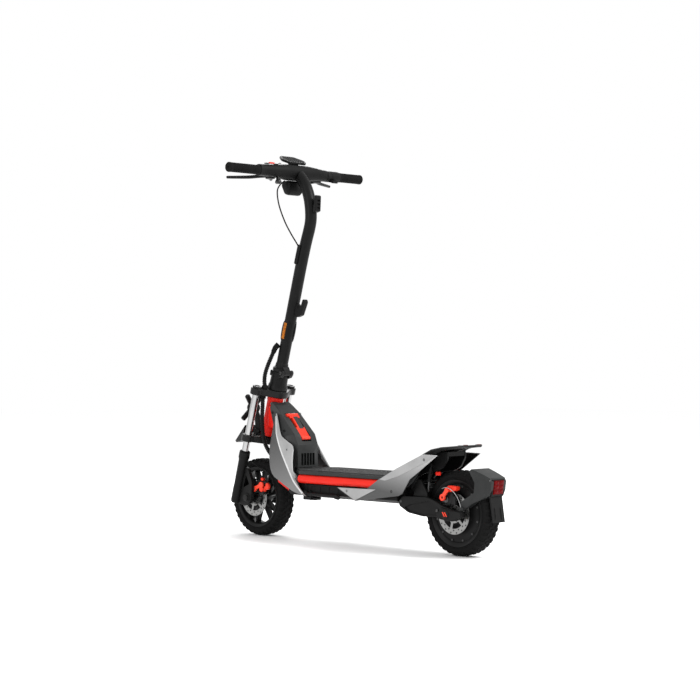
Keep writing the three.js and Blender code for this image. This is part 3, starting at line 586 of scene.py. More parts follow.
LIGHT_PANEL = coated("light_panel", "panel_grey", grey(0.26), grey(0.33), 0.42, metallic=0.2,
                     grain=900, depth=0.00006, edge=grey(0.42))
# Painted light on the side panels: the fairing is painted darker towards its top and front as shade, and
# the wing lighter along its upper rear edge as a highlight.
FAIRING_PAINTED_SHADE = panel_painted_light("fairing_painted_shade", grey(0.175), grey(0.055), 0.45, 0.30, 0.53)
WING_PAINTED_HIGHLIGHT = panel_painted_light("wing_painted_highlight", grey(0.035), grey(0.46), -0.15, 0.235, 0.41)
GLOSS_BLACK = coated("gloss_black", "screen", grey(0.005), grey(0.008), 0.2, coat=0.3,
                     grain=500, depth=0.00001, specular=0.4)
GLASS_BLACK = coated("screen_glass", "screen", grey(0.006), grey(0.010), 0.6, grain=500,
                     depth=0.00001, specular=0.01)
WRAP = coated("cell_wrap", "battery", (0.02, 0.06, 0.16), (0.04, 0.10, 0.24), 0.3, coat=0.2)
CHROME = brushed("polished_chrome", "chrome", grey(0.34), grey(0.56), 0.12, (1, 1, 0.05))
STEEL = brushed("brushed_steel", "steel", grey(0.28), grey(0.45), 0.3, (1, 6, 1))
DARK_STEEL = brushed("dark_steel", "steel", grey(0.05), grey(0.10), 0.35, (1, 1, 6))
FRONT_DISC = disc_steel("front_disc_steel", SCOOTER @ FRONT_HUB)
REAR_DISC = disc_steel("rear_disc_steel", SCOOTER @ REAR_HUB)
RED_LENS = cellular("red_lens", "red_lens", (0.07, 0.0008, 0.001), (0.17, 0.002, 0.003), 0.3, 160,
                    0.0003, 0.0)
AMBER = cellular("amber_reflector", "red_lens", (0.24, 0.055, 0.004), (0.62, 0.24, 0.03), 0.2, 260,
                 0.0005, 0.1)
WHITE_LENS = cellular("white_reflector", "chrome", grey(0.35), grey(0.8), 0.18, 260, 0.0005, 0.4)


# ------------------------------------------------------------------ small parts
def bolt(x, y, z, direction, radius=4.0, height=2.2):
    """A socket-head screw standing on a surface, its axis along direction."""
    axis = Vector(direction).normalized()
    profile = [(0.45 * radius, 0.35 * height), (0.45 * radius, height), (0.85 * radius, height),
               (radius, 0.75 * height), (radius, -height), (0.05, -height), (0.05, 0.35 * height)]
    return spin(profile, (x, y, z), axis, 20)


def ribbed_sleeve(path, radius, depth, pitch):
    """Corrugated tubing: rounded rings along a path."""
    length = sum((b - a).length for a, b in zip(path, path[1:]))
    rings = max(6, int(length / pitch))
    fine = even(path, rings * 6 + 1)

    def size(share):
        r = radius - depth * (0.5 - 0.5 * math.cos(2 * math.pi * share * rings))
        return r, r

    return sweep(fine, size, 20, up=(0, 1, 0.3))


# ------------------------------------------------------------------ wheels
def tyre_carcass():
    """Half of the tyre's section from bead to crown as (radius, y), with what a tread block adds."""
    return [
        (105.8, 26.5, 0), (108.5, 29.5, 0), (112.5, 31.0, 0), (113.2, 32.2, 0), (115.0, 32.2, 0),
        (115.8, 31.2, 0), (119.0, 32.4, 0), (123.0, 32.9, 0), (127.0, 32.2, 0), (127.4, 32.0, 1),
        (130.4, 30.6, 1), (133.2, 28.2, 1), (135.2, 25.0, 1), (136.4, 21.4, 1), (136.5, 20.8, 0),
        (136.8, 18.4, 0), (136.9, 17.8, 2), (137.2, 14.0, 2), (137.3, 9.8, 2), (137.3, 9.2, 0),
        (137.4, 7.2, 0), (137.4, 6.6, 3), (137.5, 3.6, 3), (137.5, 0.8, 3),
    ]


TREAD_PITCHES = 38
BLOCK_STEPS = [0.0, 0.05, 0.25, 0.44, 0.5, 0.55, 0.75, 0.94]
EARLY_BLOCKS = (0.04, 0.45)
LATE_BLOCKS = (0.54, 0.95)
TREAD_DEPTH = 2.1


def block_height(row, phase):
    """How far a point of the tread stands out: each row of blocks sits half a pitch on from the last."""
    if row == 0:
        return 0.0
    low, high = LATE_BLOCKS if row == 2 else EARLY_BLOCKS
    return TREAD_DEPTH if low <= phase <= high else 0.0


def knobby_tyre():
    half = tyre_carcass()
    section = [(r, y, row) for r, y, row in half] + [(r, -y, row) for r, y, row in reversed(half)]
    section += [(106.2, -20, 0), (106.2, 20, 0)]
    sections = []
    for pitch in range(TREAD_PITCHES):
        for phase in BLOCK_STEPS:
            angle = turn(pitch + phase, TREAD_PITCHES)
            ring = []
            for r, y, row in section:
                lift = block_height(row, phase)
                lean = max(0.0, (abs(y) - 21) / 11)
                radius = r + lift * math.cos(lean * 1.2)
                width = y + math.copysign(min(lift * math.sin(lean * 1.2), 33.6 - abs(y)), y) if lift else y
                ring.append((radius * math.sin(angle), width, radius * math.cos(angle)))
            sections.append(ring)
    return loft(sections, round_trip=True)


def disc_rotor():
    """Drilled brake disc on a six-armed carrier."""
    y = ROTOR_Y
    ring = spin([(49, y + 0.2), (68, y + 0.2), (68, y + 2.2), (49, y + 2.2)], axis=LEFT, segments=96)
    carrier = spin([(19, y + 0.1), (31, y + 0.1), (31, y + 2.4), (19, y + 2.4)], axis=LEFT)
    arms = []
    for i in range(6):
        arm = soften(block(27, 51, y + 0.3, y + 2.1, -4.5, 4.5), 0.4, 1)
        arm.transform(Matrix.Rotation(turn(i, 6) + 0.3, 4, "Y"))
        arms.append(arm)
    holes = []
    for i in range(32):
        angle = turn(i, 32)
        radius = 62.8 if i % 2 else 54.4
        x, z = radius * math.cos(angle), radius * math.sin(angle)
        holes.append(drum(x, z, 2.7, y - 2, y + 5, 14, soft=SHARP))
    disc = join(ring, carrier, *arms)
    return cut(disc, gathered(*holes))


def rotor_bolts():
    heads = [
        bolt(25 * math.cos(a), ROTOR_Y + 2.4, 25 * math.sin(a), LEFT, 3.4, 1.6)
        for a in (turn(i, 6) for i in range(6))
    ]
    return gathered(*heads)


def front_rim():
    """Cast rim: a lipped barrel, a waisted hub and five pairs of spokes."""
    barrel = spin([
        (96, -24), (99, -29), (104, -31.5), (108.5, -32.3), (109.5, -31.2), (107, -29.5), (105, -26),
        (105, 26), (107, 29.5), (109.5, 31.2), (108.5, 32.3), (104, 31.5), (99, 29), (96, 24),
        (94, 14), (94, -14),
    ], axis=LEFT, segments=96)
    hub = spin([
        (8.6, -37), (16, -37.5), (19, -34), (22, -24), (26, -18), (27, 0), (26, 20), (24, 30), (27, 36),
        (27, 41.4), (8.6, 41.4),
    ], axis=LEFT)
    spokes = []
    for i in range(5):
        middle = turn(i, 5) + 0.2
        for spread in (-0.23, 0.23):
            inner = Vector((20 * math.cos(middle + spread * 0.6), 0, 20 * math.sin(middle + spread * 0.6)))
            outer = Vector((97 * math.cos(middle + spread), 0, 97 * math.sin(middle + spread)))
            aside = (outer - inner).normalized().cross(Vector(LEFT))
            points = []
            for base, wide, deep in ((inner, 6.5, 14), (outer, 4.6, 10)):
                for a, b in ((1, 1), (1, -1), (-1, 1), (-1, -1)):
                    points.append(base + aside * wide * a + Vector((0, deep * b, 0)))
            spokes.append(soften(hull(points), 2.2, 2))
    return join(barrel, hub, *spokes)


def hub_motor():
    """Wide motor drum whose side plates step out to the rim lip."""
    return spin([
        (8.6, -45.5), (26, -45.5), (29.5, -42), (31, -33), (36, -29.5), (60, -27.5), (88, -25.5),
        (93, -25.5), (96, -28.5), (104, -31.5), (109, -32.3), (110, -31), (107, -29), (105, -25),
        (105, 25), (107, 29), (110, 31), (109, 32.3), (104, 31.5), (96, 28.5), (93, 25.5), (88, 25.5),
        (60, 27.5), (36, 29.5), (31, 33), (29.5, 38), (26, 41.2), (8.6, 41.2),
    ], axis=LEFT, segments=96)


def motor_screws():
    heads = []
    for i in range(12):
        angle = turn(i, 12) + 0.25
        x, z = 90 * math.cos(angle), 90 * math.sin(angle)
        heads += [bolt(x, side * 26.4, z, (0, side, 0), 3.6, 1.8) for side in (1, -1)]
    return gathered(*heads)


def valve_stem():
    return join(rod((88, 10, 20), (70, 12, 16), 2.6), rod((72, 12, 16.4), (64, 12.6, 14.8), 3.4))


def build_wheels():
    front = [
        ("tyre_knobby", knobby_tyre(), TYRE, ["front_tyre"], 28),
        ("rim_cast", front_rim(), BLACK, ["front_rim"], 38),
        ("disc", disc_rotor(), FRONT_DISC, ["front_rotor"], 38),
        ("disc_bolts", rotor_bolts(), DARK_STEEL, [], 38),
        ("valve", valve_stem(), BLACK, [], 38),
    ]
    rear = [
        ("tyre_knobby", knobby_tyre(), TYRE, ["rear_tyre"], 28),
        ("motor", hub_motor(), BLACK, ["rear_hub_motor"], 30),
        ("motor_screws", motor_screws(), DARK_STEEL, [], 38),
        ("disc", disc_rotor(), REAR_DISC, ["rear_rotor"], 38),
        ("disc_bolts", rotor_bolts(), DARK_STEEL, [], 38),
    ]
    for end, hub, pieces in (("front", FRONT_HUB, front), ("rear", REAR_HUB, rear)):
        for name, mesh, material, covers, crisp in pieces:
            mesh.transform(Matrix.Translation(hub))
            place(f"{end}_{name}", mesh, f"{end}_wheel", material, covers, crisp=crisp)


# ------------------------------------------------------------------ chassis
def steerer_bore():
    bore = rod((0, 0, -120), (0, 0, 80), 21, 48, soft=SHARP)
    bore.transform(HEAD_AXES)
    return bore


def neck_box():
    return soften(prism([
        (168, 236), (168, 163), (248, 166), (306, 196), (326, 250), (346, 320), (378, 384),
        (420, 398), (418, 470), (392, 472), (345, 430), (300, 372), (272, 312), (266, 236),
    ], -42, 42), 7, 4)


def painted_head():
    """Head tube with flared ends, and the front of the neck that shows beside it."""
    tube = spin([
        (21, -93), (29, -93), (30, -91), (30, -78), (28, -74), (28, 34), (30, 38), (30, 49), (29, 51),
        (21, 51),
    ])
    tube.transform(HEAD_AXES)
    front = within(neck_box(), block(352, 440, -60, 60, 300, 480))
    return cut(join(tube, front), steerer_bore())


def painted_rails():
    rails = [
        rod((-284, side * RAIL_Y, RAIL_Z), (196, side * RAIL_Y, RAIL_Z), 15, 48, soft=3) for side in (1, -1)
    ]
    return gathered(*rails)


def corner_braces():
    braces = []
    for side in (1, -1):
        path = [(248, side * 78, 176), (318, side * 76.4, 209), (324, side * 70, 213),
                (318, side * 38, 230)]
        braces.append(sweep(even(path, 24), lambda share: (5.5, 5.5), 24))
    return gathered(*braces)


def dark_neck():
    """Lower neck and the nose of the deck, under the shroud."""
    back = cut(neck_box(), block(352.2, 440, -60, 60, 300, 480))
    section = [(-72, 163), (72, 163), (84, 174), (84, 236), (-84, 236), (-84, 174)]
    nose = soften(bar(section, 168, 262), 4, 3)
    return cut(join(back, nose), steerer_bore())


def rear_bulkhead():
    """Cross wall, pivot lug and barrel, and the ribs and web under the foot rest."""
    wall = soften(join(block(-287, -272, -60, 60, 160, 237), block(-287, -272, -84, 84, 208, 237)), 2, 2)
    x, z = PIVOT
    lug = prism([(-280, 162), (-280, 192), (x, z + 16), (x, z - 16)], -54, 54)
    barrel = drum(x, z, 17, -54, 54, 48)
    rib = rounded([
        (-272, 200), (-272, 257), (-300, 271), (-430, 335), (-462, 341), (-464, 318), (-445, 287),
        (-420, 274), (-372, 268), (-330, 252), (-287, 200),
    ], 6)
    ribs = [soften(prism(rib, *on_side(side, 38, 46)), 1.2, 2) for side in (1, -1)]
    web = prism([(-340, 287), (-430, 332), (-462, 338), (-462, 324), (-430, 321), (-344, 281)], -40, 40)
    return cut(join(wall, lug, barrel, *ribs, web), drum(x, z, AXLE_BORE, -60, 60, soft=SHARP))


def damper_brackets():
    """Red tabs on the ribs beside the upper ends of the dampers."""
    tab = soften(block(-436, -416, 45.5, 52.5, 261, 273), 2, 2)
    return gathered(tab, mirrored(tab))


DECK_OUTLINE = [
    (-246, -99), (192, -99), (214, -78), (244, -64), (244, 64), (214, 78), (192, 99), (-246, 99),
]


def deck_mat():
    """Rubber mat: long ribs, cut to the deck's outline, inside a plain border."""
    outline = rounded([(x, y * 0.955) for x, y in DECK_OUTLINE], 8)
    inner = rounded([(x * 0.965, y * 0.86) for x, y in DECK_OUTLINE], 8)
    pitch = 6.0
    teeth = [(-90, 252.4)]
    for i in range(30):
        y = -90 + pitch * i
        teeth += [(y + 0.4, 254.6), (y + 1.4, 255.9), (y + 4.2, 255.9), (y + 5.2, 254.6)]
    teeth.append((90, 252.4))
    ribs = within(bar(teeth, -238, 236), slab(inner, 252.3, 256))
    border = cut(slab(outline, 252.3, 255.7), slab(inner, 250, 260))
    floor_sheet = slab([(x, y * 0.999) for x, y in outline], 252.3, 253.6)
    return join(soften(border, 0.8, 2), floor_sheet, ribs)


def battery_tub():
    """Black tub under the deck, with grooves along its sides."""
    outside = soften(bar([
        (-60, 160), (60, 160), (84, 172), (84, 206), (71, 206), (71, 236), (-71, 236), (-71, 206),
        (-84, 206), (-84, 172),
    ], -271, 167), 2.5, 3)
    inside = bar([(-57, 164), (57, 164), (67, 172), (67, 240), (-67, 240), (-67, 172)], -267, 163)
    grooves = []
    for i in range(9):
        x = -236 + 44 * i
        grooves += [block(x, x + 26, 82.4, 90, 178, 200), block(x, x + 26, -90, -82.4, 178, 200)]
    return cut(outside, inside, *[soften(g, 1.2, 1) for g in grooves])


def tub_screws():
    places = [(x, side * 46) for x in (-240, -120, 0, 120) for side in (1, -1)]
    return gathered(*[bolt(x, y, 160.4, (0, 0, -1), 4.5, 0.9) for x, y in places])


def neck_shroud():
    """Plastic cover round the neck: faceted, hollow, with the latch channel and five vents."""
    upper = hull(both([
        (424, 26, 484), (398, 40, 487), (376, 38, 476), (343, 46, 447), (306, 49, 409), (266, 49, 373),
        (396, 50, 462), (372, 54, 400), (340, 56, 350), (300, 55, 330),
    ]))
    lower = hull(both([
        (266, 49, 373), (250, 48, 336), (250, 49, 257), (322, 56, 257), (338, 57, 345), (300, 55, 370),
    ]))
    skin = soften(join(upper, lower), 5, 4, 14)
    hollow = prism([
        (258, 240), (258, 330), (274, 362), (312, 402), (350, 440), (384, 468), (404, 478),
        (470, 478), (470, 240),
    ], -45, 45)
    head_clear = rod((0, 0, -120), (0, 0, 80), 34, 64, soft=SHARP)
    head_clear.transform(HEAD_AXES)
    channel = prism([
        (270, 388), (250, 366), (256, 347), (274, 353), (310, 395), (344, 434), (328, 462), (300, 430),
    ], -22.5, 22.5)
    bar_channel = drum(335, 439, 10, -30, 30, soft=SHARP)
    vents = [soften(block(236, 270, y - 5, y + 5, 264, 307), 1.5, 2) for y in (-27, -13.5, 0, 13.5, 27)]
    return soften(cut(skin, hollow, head_clear, channel, bar_channel, *vents), 0.8, 2, 50)


def shroud_screws():
    heads = []
    for side in (1, -1):
        heads.append(bolt(383, side * 51.3, 449, (0.1, side, 0), 4.6, 1.4))
        heads.append(bolt(319, side * 53.4, 385, (0.1, side, 0), 4.6, 1.4))
    return gathered(*heads)


# Side fairing: its front edge, the fold and the inner edge of the flange, from top to bottom.
FAIRING_FRONT = [(360, 58.5, 446), (369, 63, 387), (372, 74, 323), (358, 85.5, 262), (333, 93.5, 229),
                 (300, 98, 214), (256, 103, 195), (206, 106.5, 176), (147, 107.5, 165)]
FAIRING_FOLD = [(352, 60, 447), (345, 66, 396), (333, 73, 367), (300, 84, 319), (263, 95, 278),
                (237, 101, 248), (208, 106, 215), (176, 107.5, 188), (145, 108, 165)]
FAIRING_INNER = [(350, 59, 445), (332, 59.5, 385), (322, 60, 366), (290, 60, 348), (262, 62, 333),
                 (256, 66, 306), (262, 76, 284), (262, 90, 277), (262, 95, 277)]


def skin_between(first, second, thickness, bulge, rows=26, columns=6):
    """A curved sheet between two edges, as a closed shell of some thickness."""
    a = smooth_path(first, rows)
    b = smooth_path(second, rows)
    vertices = []
    for i in range(rows):
        for k in range(columns):
            share = k / (columns - 1)
            point = a[i].lerp(b[i], share)
            point.y += bulge * math.sin(math.pi * share) * math.sin(math.pi * min(1, i / (rows - 1) * 1.2))
            vertices.append(point)
    faces = []
    for i in range(rows - 1):
        for k in range(columns - 1):
            corner = i * columns + k
            faces.append((corner, corner + 1, corner + columns + 1, corner + columns))
    mesh = bpy.data.meshes.new("sheet")
    mesh.from_pydata([tuple(v) for v in vertices], [], faces)
    work = bmesh.new()
    work.from_mesh(mesh)
    bmesh.ops.remove_doubles(work, verts=work.verts, dist=0.05)
    bmesh.ops.recalc_face_normals(work, faces=work.faces)
    if sum(f.normal.y for f in work.faces) < 0:
        bmesh.ops.reverse_faces(work, faces=work.faces)
    work.to_mesh(mesh)
    work.free()
    inward = {"thickness": thickness, "offset": -1.0, "use_even_offset": True}
    return evaluated(mesh, [("SOLIDIFY", inward)])


def fairing_stripe():
    """Pale raised edge along the fold, widening towards the foot."""
    fold = smooth_path(FAIRING_FOLD, 40)
    front = smooth_path(FAIRING_FRONT, 40)
    sections = []
    for i in range(1, 38):
        share = i / 39
        ahead = (front[i] - fold[i]).normalized()
        width = 3.4 + 3.2 * share
        inner = fold[i] - ahead * 0.5 + Vector((0, 0.9, 0))
        outer = fold[i] + ahead * width + Vector((0, 1.1, 0))
        deep = Vector((0.4, -1.6, 0))
        sections.append([inner, outer, outer + deep, inner + deep])
    return loft(sections)


def build_fairings():
    panel = skin_between(FAIRING_FRONT, FAIRING_FOLD, 3.2, 1.5)
    flange = skin_between(FAIRING_FOLD[:8], FAIRING_INNER[:8], 3.0, 0.0)
    stripe = fairing_stripe()
    screw = bolt(279, 72.5, 320, (-0.55, 0.6, 0.55), 4.2, 1.6)
    for side, _ in SIDES:
        place(f"fairing_panel_{side}", handed(panel, side), "chassis", FAIRING_PAINTED_SHADE, [f"fairing_{side}"])
        for name, mesh, material in (("flange", flange, LIGHT_PANEL), ("stripe", stripe, PALE),
                                     ("screw", screw, BLACK)):
            place(f"fairing_{name}_{side}", handed(mesh, side), "chassis", material)


WING_OUTLINE = [
    (-7, 204), (-97, 162), (-300, 190), (-317, 198), (-351, 247), (-384, 268), (-475, 330),
    (-409, 331), (-286, 278), (-206, 239), (-152, 205),
]


def build_wings():
    """Tail side panels with a lighter toe plate and three screws."""
    y = PANEL_Y
    body = soften(prism(rounded(WING_OUTLINE, 4), y, y + 3.6), 1.1, 3)
    toe = soften(prism(rounded([(-14, 203.4), (-97, 164.5), (-196, 206)], 3), y + 3.0, y + 4.9), 0.7, 2)
    edge = soften(prism(rounded([
        (-283, 275.5), (-410, 330), (-470, 329.4), (-440, 312), (-300, 255), (-240, 238), (-214, 240.5),
    ], 4), y + 3.0, y + 4.6), 0.7, 2)
    screws = gathered(*[
        bolt(x, y + h, z, LEFT, 4.6, 0.8)
        for x, z, h in ((-58, 194, 4.2), (-268, 203, 3.2), (-417, 314, 4.0))
    ])
    smaller = [(x * 0.988 - 3, 2.6 + z * 0.985) for x, z in WING_OUTLINE]
    liner = prism(rounded(smaller, 4), y - 1.2, y + 0.4)
    pieces = {"panel": (body, WING_PAINTED_HIGHLIGHT), "toe": (toe, LIGHT_PANEL), "edge": (edge, LIGHT_PANEL),
              "liner": (liner, PLASTIC), "screws": (screws, BLACK)}
    for name, (mesh, material) in pieces.items():
        for side, _ in SIDES:
            covers = [f"wing_{side}"] if name == "panel" else []
            place(f"wing_{name}_{side}", handed(mesh, side), "chassis", material, covers)


# Foot rest, front to back: x, height of its top and half width.
KICK_STATIONS = [(-247, 257, 98), (-292, 281, 98), (-434, 348, 94), (-470, 356, 86), (-528, 362, 52),
                 (-560, 364, 16)]


def kick_plate():
    """Foot rest over the rear wheel: a tapering board on two side walls."""
    sections = []
    for x, z, y in KICK_STATIONS:
        sections.append([(x, -y, z), (x, y, z), (x, y - 2, z - 5), (x, y * 0.72, z - 8),
                         (x, -y * 0.72, z - 8), (x, -y + 2, z - 5)])
    board = soften(loft(sections), 1.6, 3, 24)
    wall = rounded([
        (-292, 276), (-296, 250), (-320, 216), (-350, 236), (-381, 272), (-402, 300), (-407, 318),
        (-412, 334),
    ], 6)
    walls = [soften(prism(wall, *on_side(side, 88, 93)), 1.0, 2) for side in (1, -1)]
    return join(board, *walls)


def kick_grip_strips():
    """Raised grip bars across the foot rest, following its slope."""
    strips = []
    (x0, z0, _), (x1, z1, _) = KICK_STATIONS[1:3]
    slope = (z1 - z0) / (x1 - x0)
    for i in range(9):
        x = -302 - 14 * i
        z = z0 + slope * (x - x0)
        strip = block(-3.4, 3.4, -78, 78, -0.6, 1.0)
        strip.transform(Matrix.Translation((x, 0, z)) @ Matrix.Rotation(-math.atan(slope), 4, "Y"))
        strips.append(soften(strip, 0.6, 2))
    return gathered(*strips)


def build_tail():
    place("kick_board", kick_plate(), "chassis", SHROUD, ["kick_plate"])
    place("kick_grips", kick_grip_strips(), "chassis", PLASTIC)
    white = soften(block(-523, -509, 38, 47, 361.2, 363.2), 0.7, 2)
    red = soften(block(-536, -526, 26, 40, 362.0, 364.0), 0.7, 2)
    for side, _ in SIDES:
        place(f"tail_reflector_white_{side}", handed(white, side), "chassis", WHITE_LENS)
        place(f"tail_reflector_red_{side}", handed(red, side), "chassis", RED_LENS)


def build_chassis():
    place("frame_head", painted_head(), "chassis", RED, ["main_frame"])
    place("frame_rails", painted_rails(), "chassis", RED)
    place("frame_braces", corner_braces(), "chassis", RED)
    place("frame_neck", dark_neck(), "chassis", BLACK)
    place("frame_rear", rear_bulkhead(), "chassis", BLACK)
    place("damper_brackets", damper_brackets(), "chassis", RED)
    plate = soften(slab(rounded(DECK_OUTLINE, 10), 239, 252), 2.4, 3)
    place("deck_board", plate, "chassis", SHROUD, ["deck_plate"])
    place("deck_mat_ribbed", deck_mat(), "chassis", DECK, ["deck_mat"], crisp=30)
    place("battery_tub", battery_tub(), "chassis", PLASTIC, ["battery_tray"])
    place("battery_tub_screws", tub_screws(), "chassis", DARK_STEEL)
    cells = soften(block(-258, 100, -60, 60, 174, 232), 5, 3)
    place("battery_block", cells, "chassis", WRAP, ["battery_pack"])
    place("shroud", neck_shroud(), "chassis", SHROUD, ["neck_shroud"])
    place("shroud_screws", shroud_screws(), "chassis", BLACK)
    build_fairings()
    build_wings()
    build_tail()


def latch():
    """Folding latch: a grab bar on its hinge and a flat paddle below it."""
    arm = rounded([
        (333, 444), (326, 438), (298, 406), (266, 368), (257, 361), (260, 354), (271, 359),
        (305, 399), (338, 434),
    ], 3)
    stalk = soften(prism(arm, -14, 12), 1.6, 3)
    paddle = rounded([(292, 399), (266, 368), (257, 361), (260, 354), (271, 359), (297, 390)], 2)
    head = prism(rounded([(333, 444), (320, 431), (328, 424), (338, 434)], 2), -26, 20)
    bar_end = drum(335, 439, 6.8, -27, 27, 40, soft=2)
    return join(stalk, soften(prism(paddle, -20, 20), 2.0, 3), soften(head, 1.5, 3), bar_end)


def latch_insert():
    """Dark inlay let into the latch's stalk, proud of its outer face."""
    return soften(prism(rounded([
        (322.6, 435.4), (286.5, 392.6), (289, 390.4), (325, 433.2),
    ], 1), -15.5, 5.5), 1.0, 3)


def build_latch_and_stand():
    place("latch_handle", latch(), "latch", ORANGE, ["latch_lever"])
    place("latch_inlay", latch_insert(), "latch", GLOSS_BLACK)
    hub = drum(158, 172, 11, 90.4, 101, 40, soft=1.5)
    leg = sweep(even([(158, 96, 172), (8, 96, 171), (-8, 96, 166)], 24), lambda share: (6, 6), 20)
    foot = rod((10, 96, 171), (-8, 96, 166), 9, 28, 7, soft=2)
    place("stand_leg", join(hub, leg, foot), "kickstand", BLACK, ["kickstand_leg"])
    place("stand_bolt", bolt(158, 101.2, 172, LEFT, 5.5, 1.2), "kickstand", DARK_STEEL)
    plate = soften(block(128, 186, 50, 84, 150, 159.4), 2, 2)
    outline = rounded([(140, 152), (176, 152), (182, 178), (146, 186), (136, 178)], 4)
    cheek = soften(prism(outline, 84.6, 90), 1, 2)
    bracket = join(plate, cheek, block(140, 176, 80, 88, 152, 159.4))
    place("stand_bracket", bracket, "chassis", BLACK, ["kickstand_bracket"])


# ------------------------------------------------------------------ swingarm and dampers
ARM_OUTLINE = [
    (-276, 156), (-276, 172), (-294, 190), (-400, 191), (-434, 182), (-475, 165), (-522, 153), (-552, 151),
    (-558, 144), (-556, 133), (-528, 121), (-505, 117), (-460, 122), (-440, 129), (-384, 126), (-318, 135),
]
ARM_RECESS = [
    (-302, 152), (-330, 163), (-408, 178), (-436, 170), (-462, 150), (-447, 134), (-384, 131), (-322, 139),
]


def swing_side():
    """One side of the swingarm: a plate with a ridge left standing along its upper edge."""
    plate = prism(rounded(ARM_OUTLINE, 7), 62, 80)
    recess = prism(rounded(ARM_RECESS, 3), 76.0, 84)
    riser = prism(rounded([(-330, 182), (-352, 246), (-366, 246), (-396, 200), (-398, 186)], 4), 62, 70)
    pad = prism([(-292, 150), (-292, 180), (-330, 180), (-330, 150)], 54.5, 64)
    side = cut(soften(plate, 2.6, 3), recess)
    return join(side, soften(riser, 1.4, 2), pad)


def swingarm():
    side = swing_side()
    bridge = drum(-358, 238, 8, -68, 68)
    pin = drum(*PIVOT, 8, -66, 66)
    whole = join(side, mirrored(side), bridge, pin)
    return cut(whole, drum(REAR_HUB.x, REAR_HUB.z, AXLE_BORE, -90, 90, soft=SHARP))


def axle_cover():
    """Bevelled plate over the arm's end, with a boss where it covers the axle nut."""
    outline = rounded([
        (-466, 161), (-522, 151.5), (-550, 149.5), (-556, 143.5), (-554, 134.5), (-527, 123), (-504, 119),
        (-461, 124), (-449, 134), (-462, 149),
    ], 4)
    plate = soften(prism(outline, 79.4, 85.6), 3.2, 1)
    return join(plate, drum(REAR_HUB.x, REAR_HUB.z, 16, 80, 88, 56, soft=2.2))


def axle_accent():
    """Two short slanted bars on the boss of the axle cover."""
    x, z = REAR_HUB.x, REAR_HUB.z
    bars = [soften(prism([(x + a - 8, z - 7), (x + a - 3, z - 7), (x + a + 6, z + 7), (x + a + 1, z + 7)],
                         87.5, 88.3), 0.3, 1) for a in (-3, 6)]
    return gathered(*bars)


def axle(hub, half, nut):
    shaft = rod((hub.x, -half, hub.z), (hub.x, half, hub.z), 8, 40, soft=1.5)
    nuts = []
    for side in (1, -1):
        near = side * (half - 7.6)
        nuts.append(drum(hub.x, hub.z, nut, near, side * (half - 0.5), 6))
        nuts.append(drum(hub.x, hub.z, nut + 2, near - side * 0.2, near + side * 1.2, soft=0.4))
    return join(shaft, *nuts)


def rear_calliper():
    body = drum(-476, 194, 27, ROTOR_Y + 5, 62, 56, soft=2.5)
    claw = soften(block(-500, -458, 34, 56, 186, 216), 2, 2)
    slot = block(-520, -440, ROTOR_Y - 2.5, ROTOR_Y + 5, 120, 209)
    outline = [(-500, 200), (-512, 196), (-512, 170), (-452, 170), (-452, 196)]
    foot = soften(prism(outline, 52, 61.4), 1.5, 2)
    return cut(join(body, claw, foot), slot)


def calliper_dial(x, z, y, radius):
    """Stepped adjuster on the calliper's outer face."""
    profile = [(0.3, 0), (radius, 0), (radius, 1.6), (radius * 0.8, 2.6), (radius * 0.8, 3.4),
               (radius * 0.45, 4.2), (0.3, 4.2)]
    return spin(profile, (x, y, z), LEFT, 48)


def lever_link(start, end, y0, y1, root=8):
    """A cable arm: two round ends joined by a waist, with an eye in the far one."""
    a, b = Vector((start[0], 0, start[1])), Vector((end[0], 0, end[1]))
    along = (b - a).normalized()
    side = Vector((-along.z, 0, along.x)) * 6
    web = [(p.x, p.z) for p in (a + side, a - side, b - side, b + side)]
    whole = join(prism(web, y0, y1), drum(*start, root, y0, y1, soft=SHARP),
                 drum(*end, 11, y0, y1, soft=SHARP))
    return soften(cut(whole, drum(*end, 4.5, y0 - 2, y1 + 2, soft=SHARP)), 0.9, 2, 50)


def cable(points, radius, steps=40):
    return sweep(smooth_path(points, steps), lambda share: (radius, radius), 12, up=(0.3, 1, 0))


def narrowed(mesh):
    """Draws the fender's sides in towards its rear."""
    for vertex in mesh.vertices:
        behind = max(0.0, -526 - vertex.co.x)
        vertex.co.y *= 1 - 0.0018 * behind
    return mesh


FENDER_OUTLINE = [
    (-526, 150), (-534, 151), (-572, 176), (-624, 196), (-640, 214), (-646, 258), (-600, 276),
    (-556, 290), (-570, 266), (-583, 244), (-580, 212), (-528, 180), (-524, 166),
]


def rear_fender():
    """Faceted splash guard, hollow over the tyre, with chamfered shoulders."""
    outer = prism(FENDER_OUTLINE, -54, 54)
    shoulder = {(-556, 290), (-600, 276), (-646, 258), (-640, 214), (-624, 196)}

    def on_shoulder(point):
        near = any(abs(point.x - x) < 1 and abs(point.z - z) < 1 for x, z in shoulder)
        return near and abs(abs(point.y) - 54) < 0.5

    outer = chamfer(outer, 9, on_shoulder)
    hollow = prism([
        (-548, 300), (-560, 283), (-600, 270), (-640.5, 254), (-634, 216), (-620, 201), (-572, 180),
        (-500, 120), (-480, 120), (-480, 300),
    ], -48, 48)
    shell = cut(outer, hollow)
    shell = soften(shell, 0.9, 2)
    ears = [soften(block(-542, -526, *on_side(side, 50, 61.8), 152.6, 164), 1, 2) for side in (1, -1)]
    return narrowed(join(shell, *ears))


def mud_flap():
    """Rubber flap below the lamp, with two pressed ribs."""
    sheet = soften(prism([(-632, 207), (-646, 118), (-642, 118), (-627, 204)], -29, 29), 1.2, 2)
    ribs = [soften(prism([(-640.2, 165), (-645.6, 128), (-647, 128), (-641.4, 166)], y - 2, y + 2), 0.6, 1)
            for y in (-14, 14)]
    return join(sheet, *ribs)


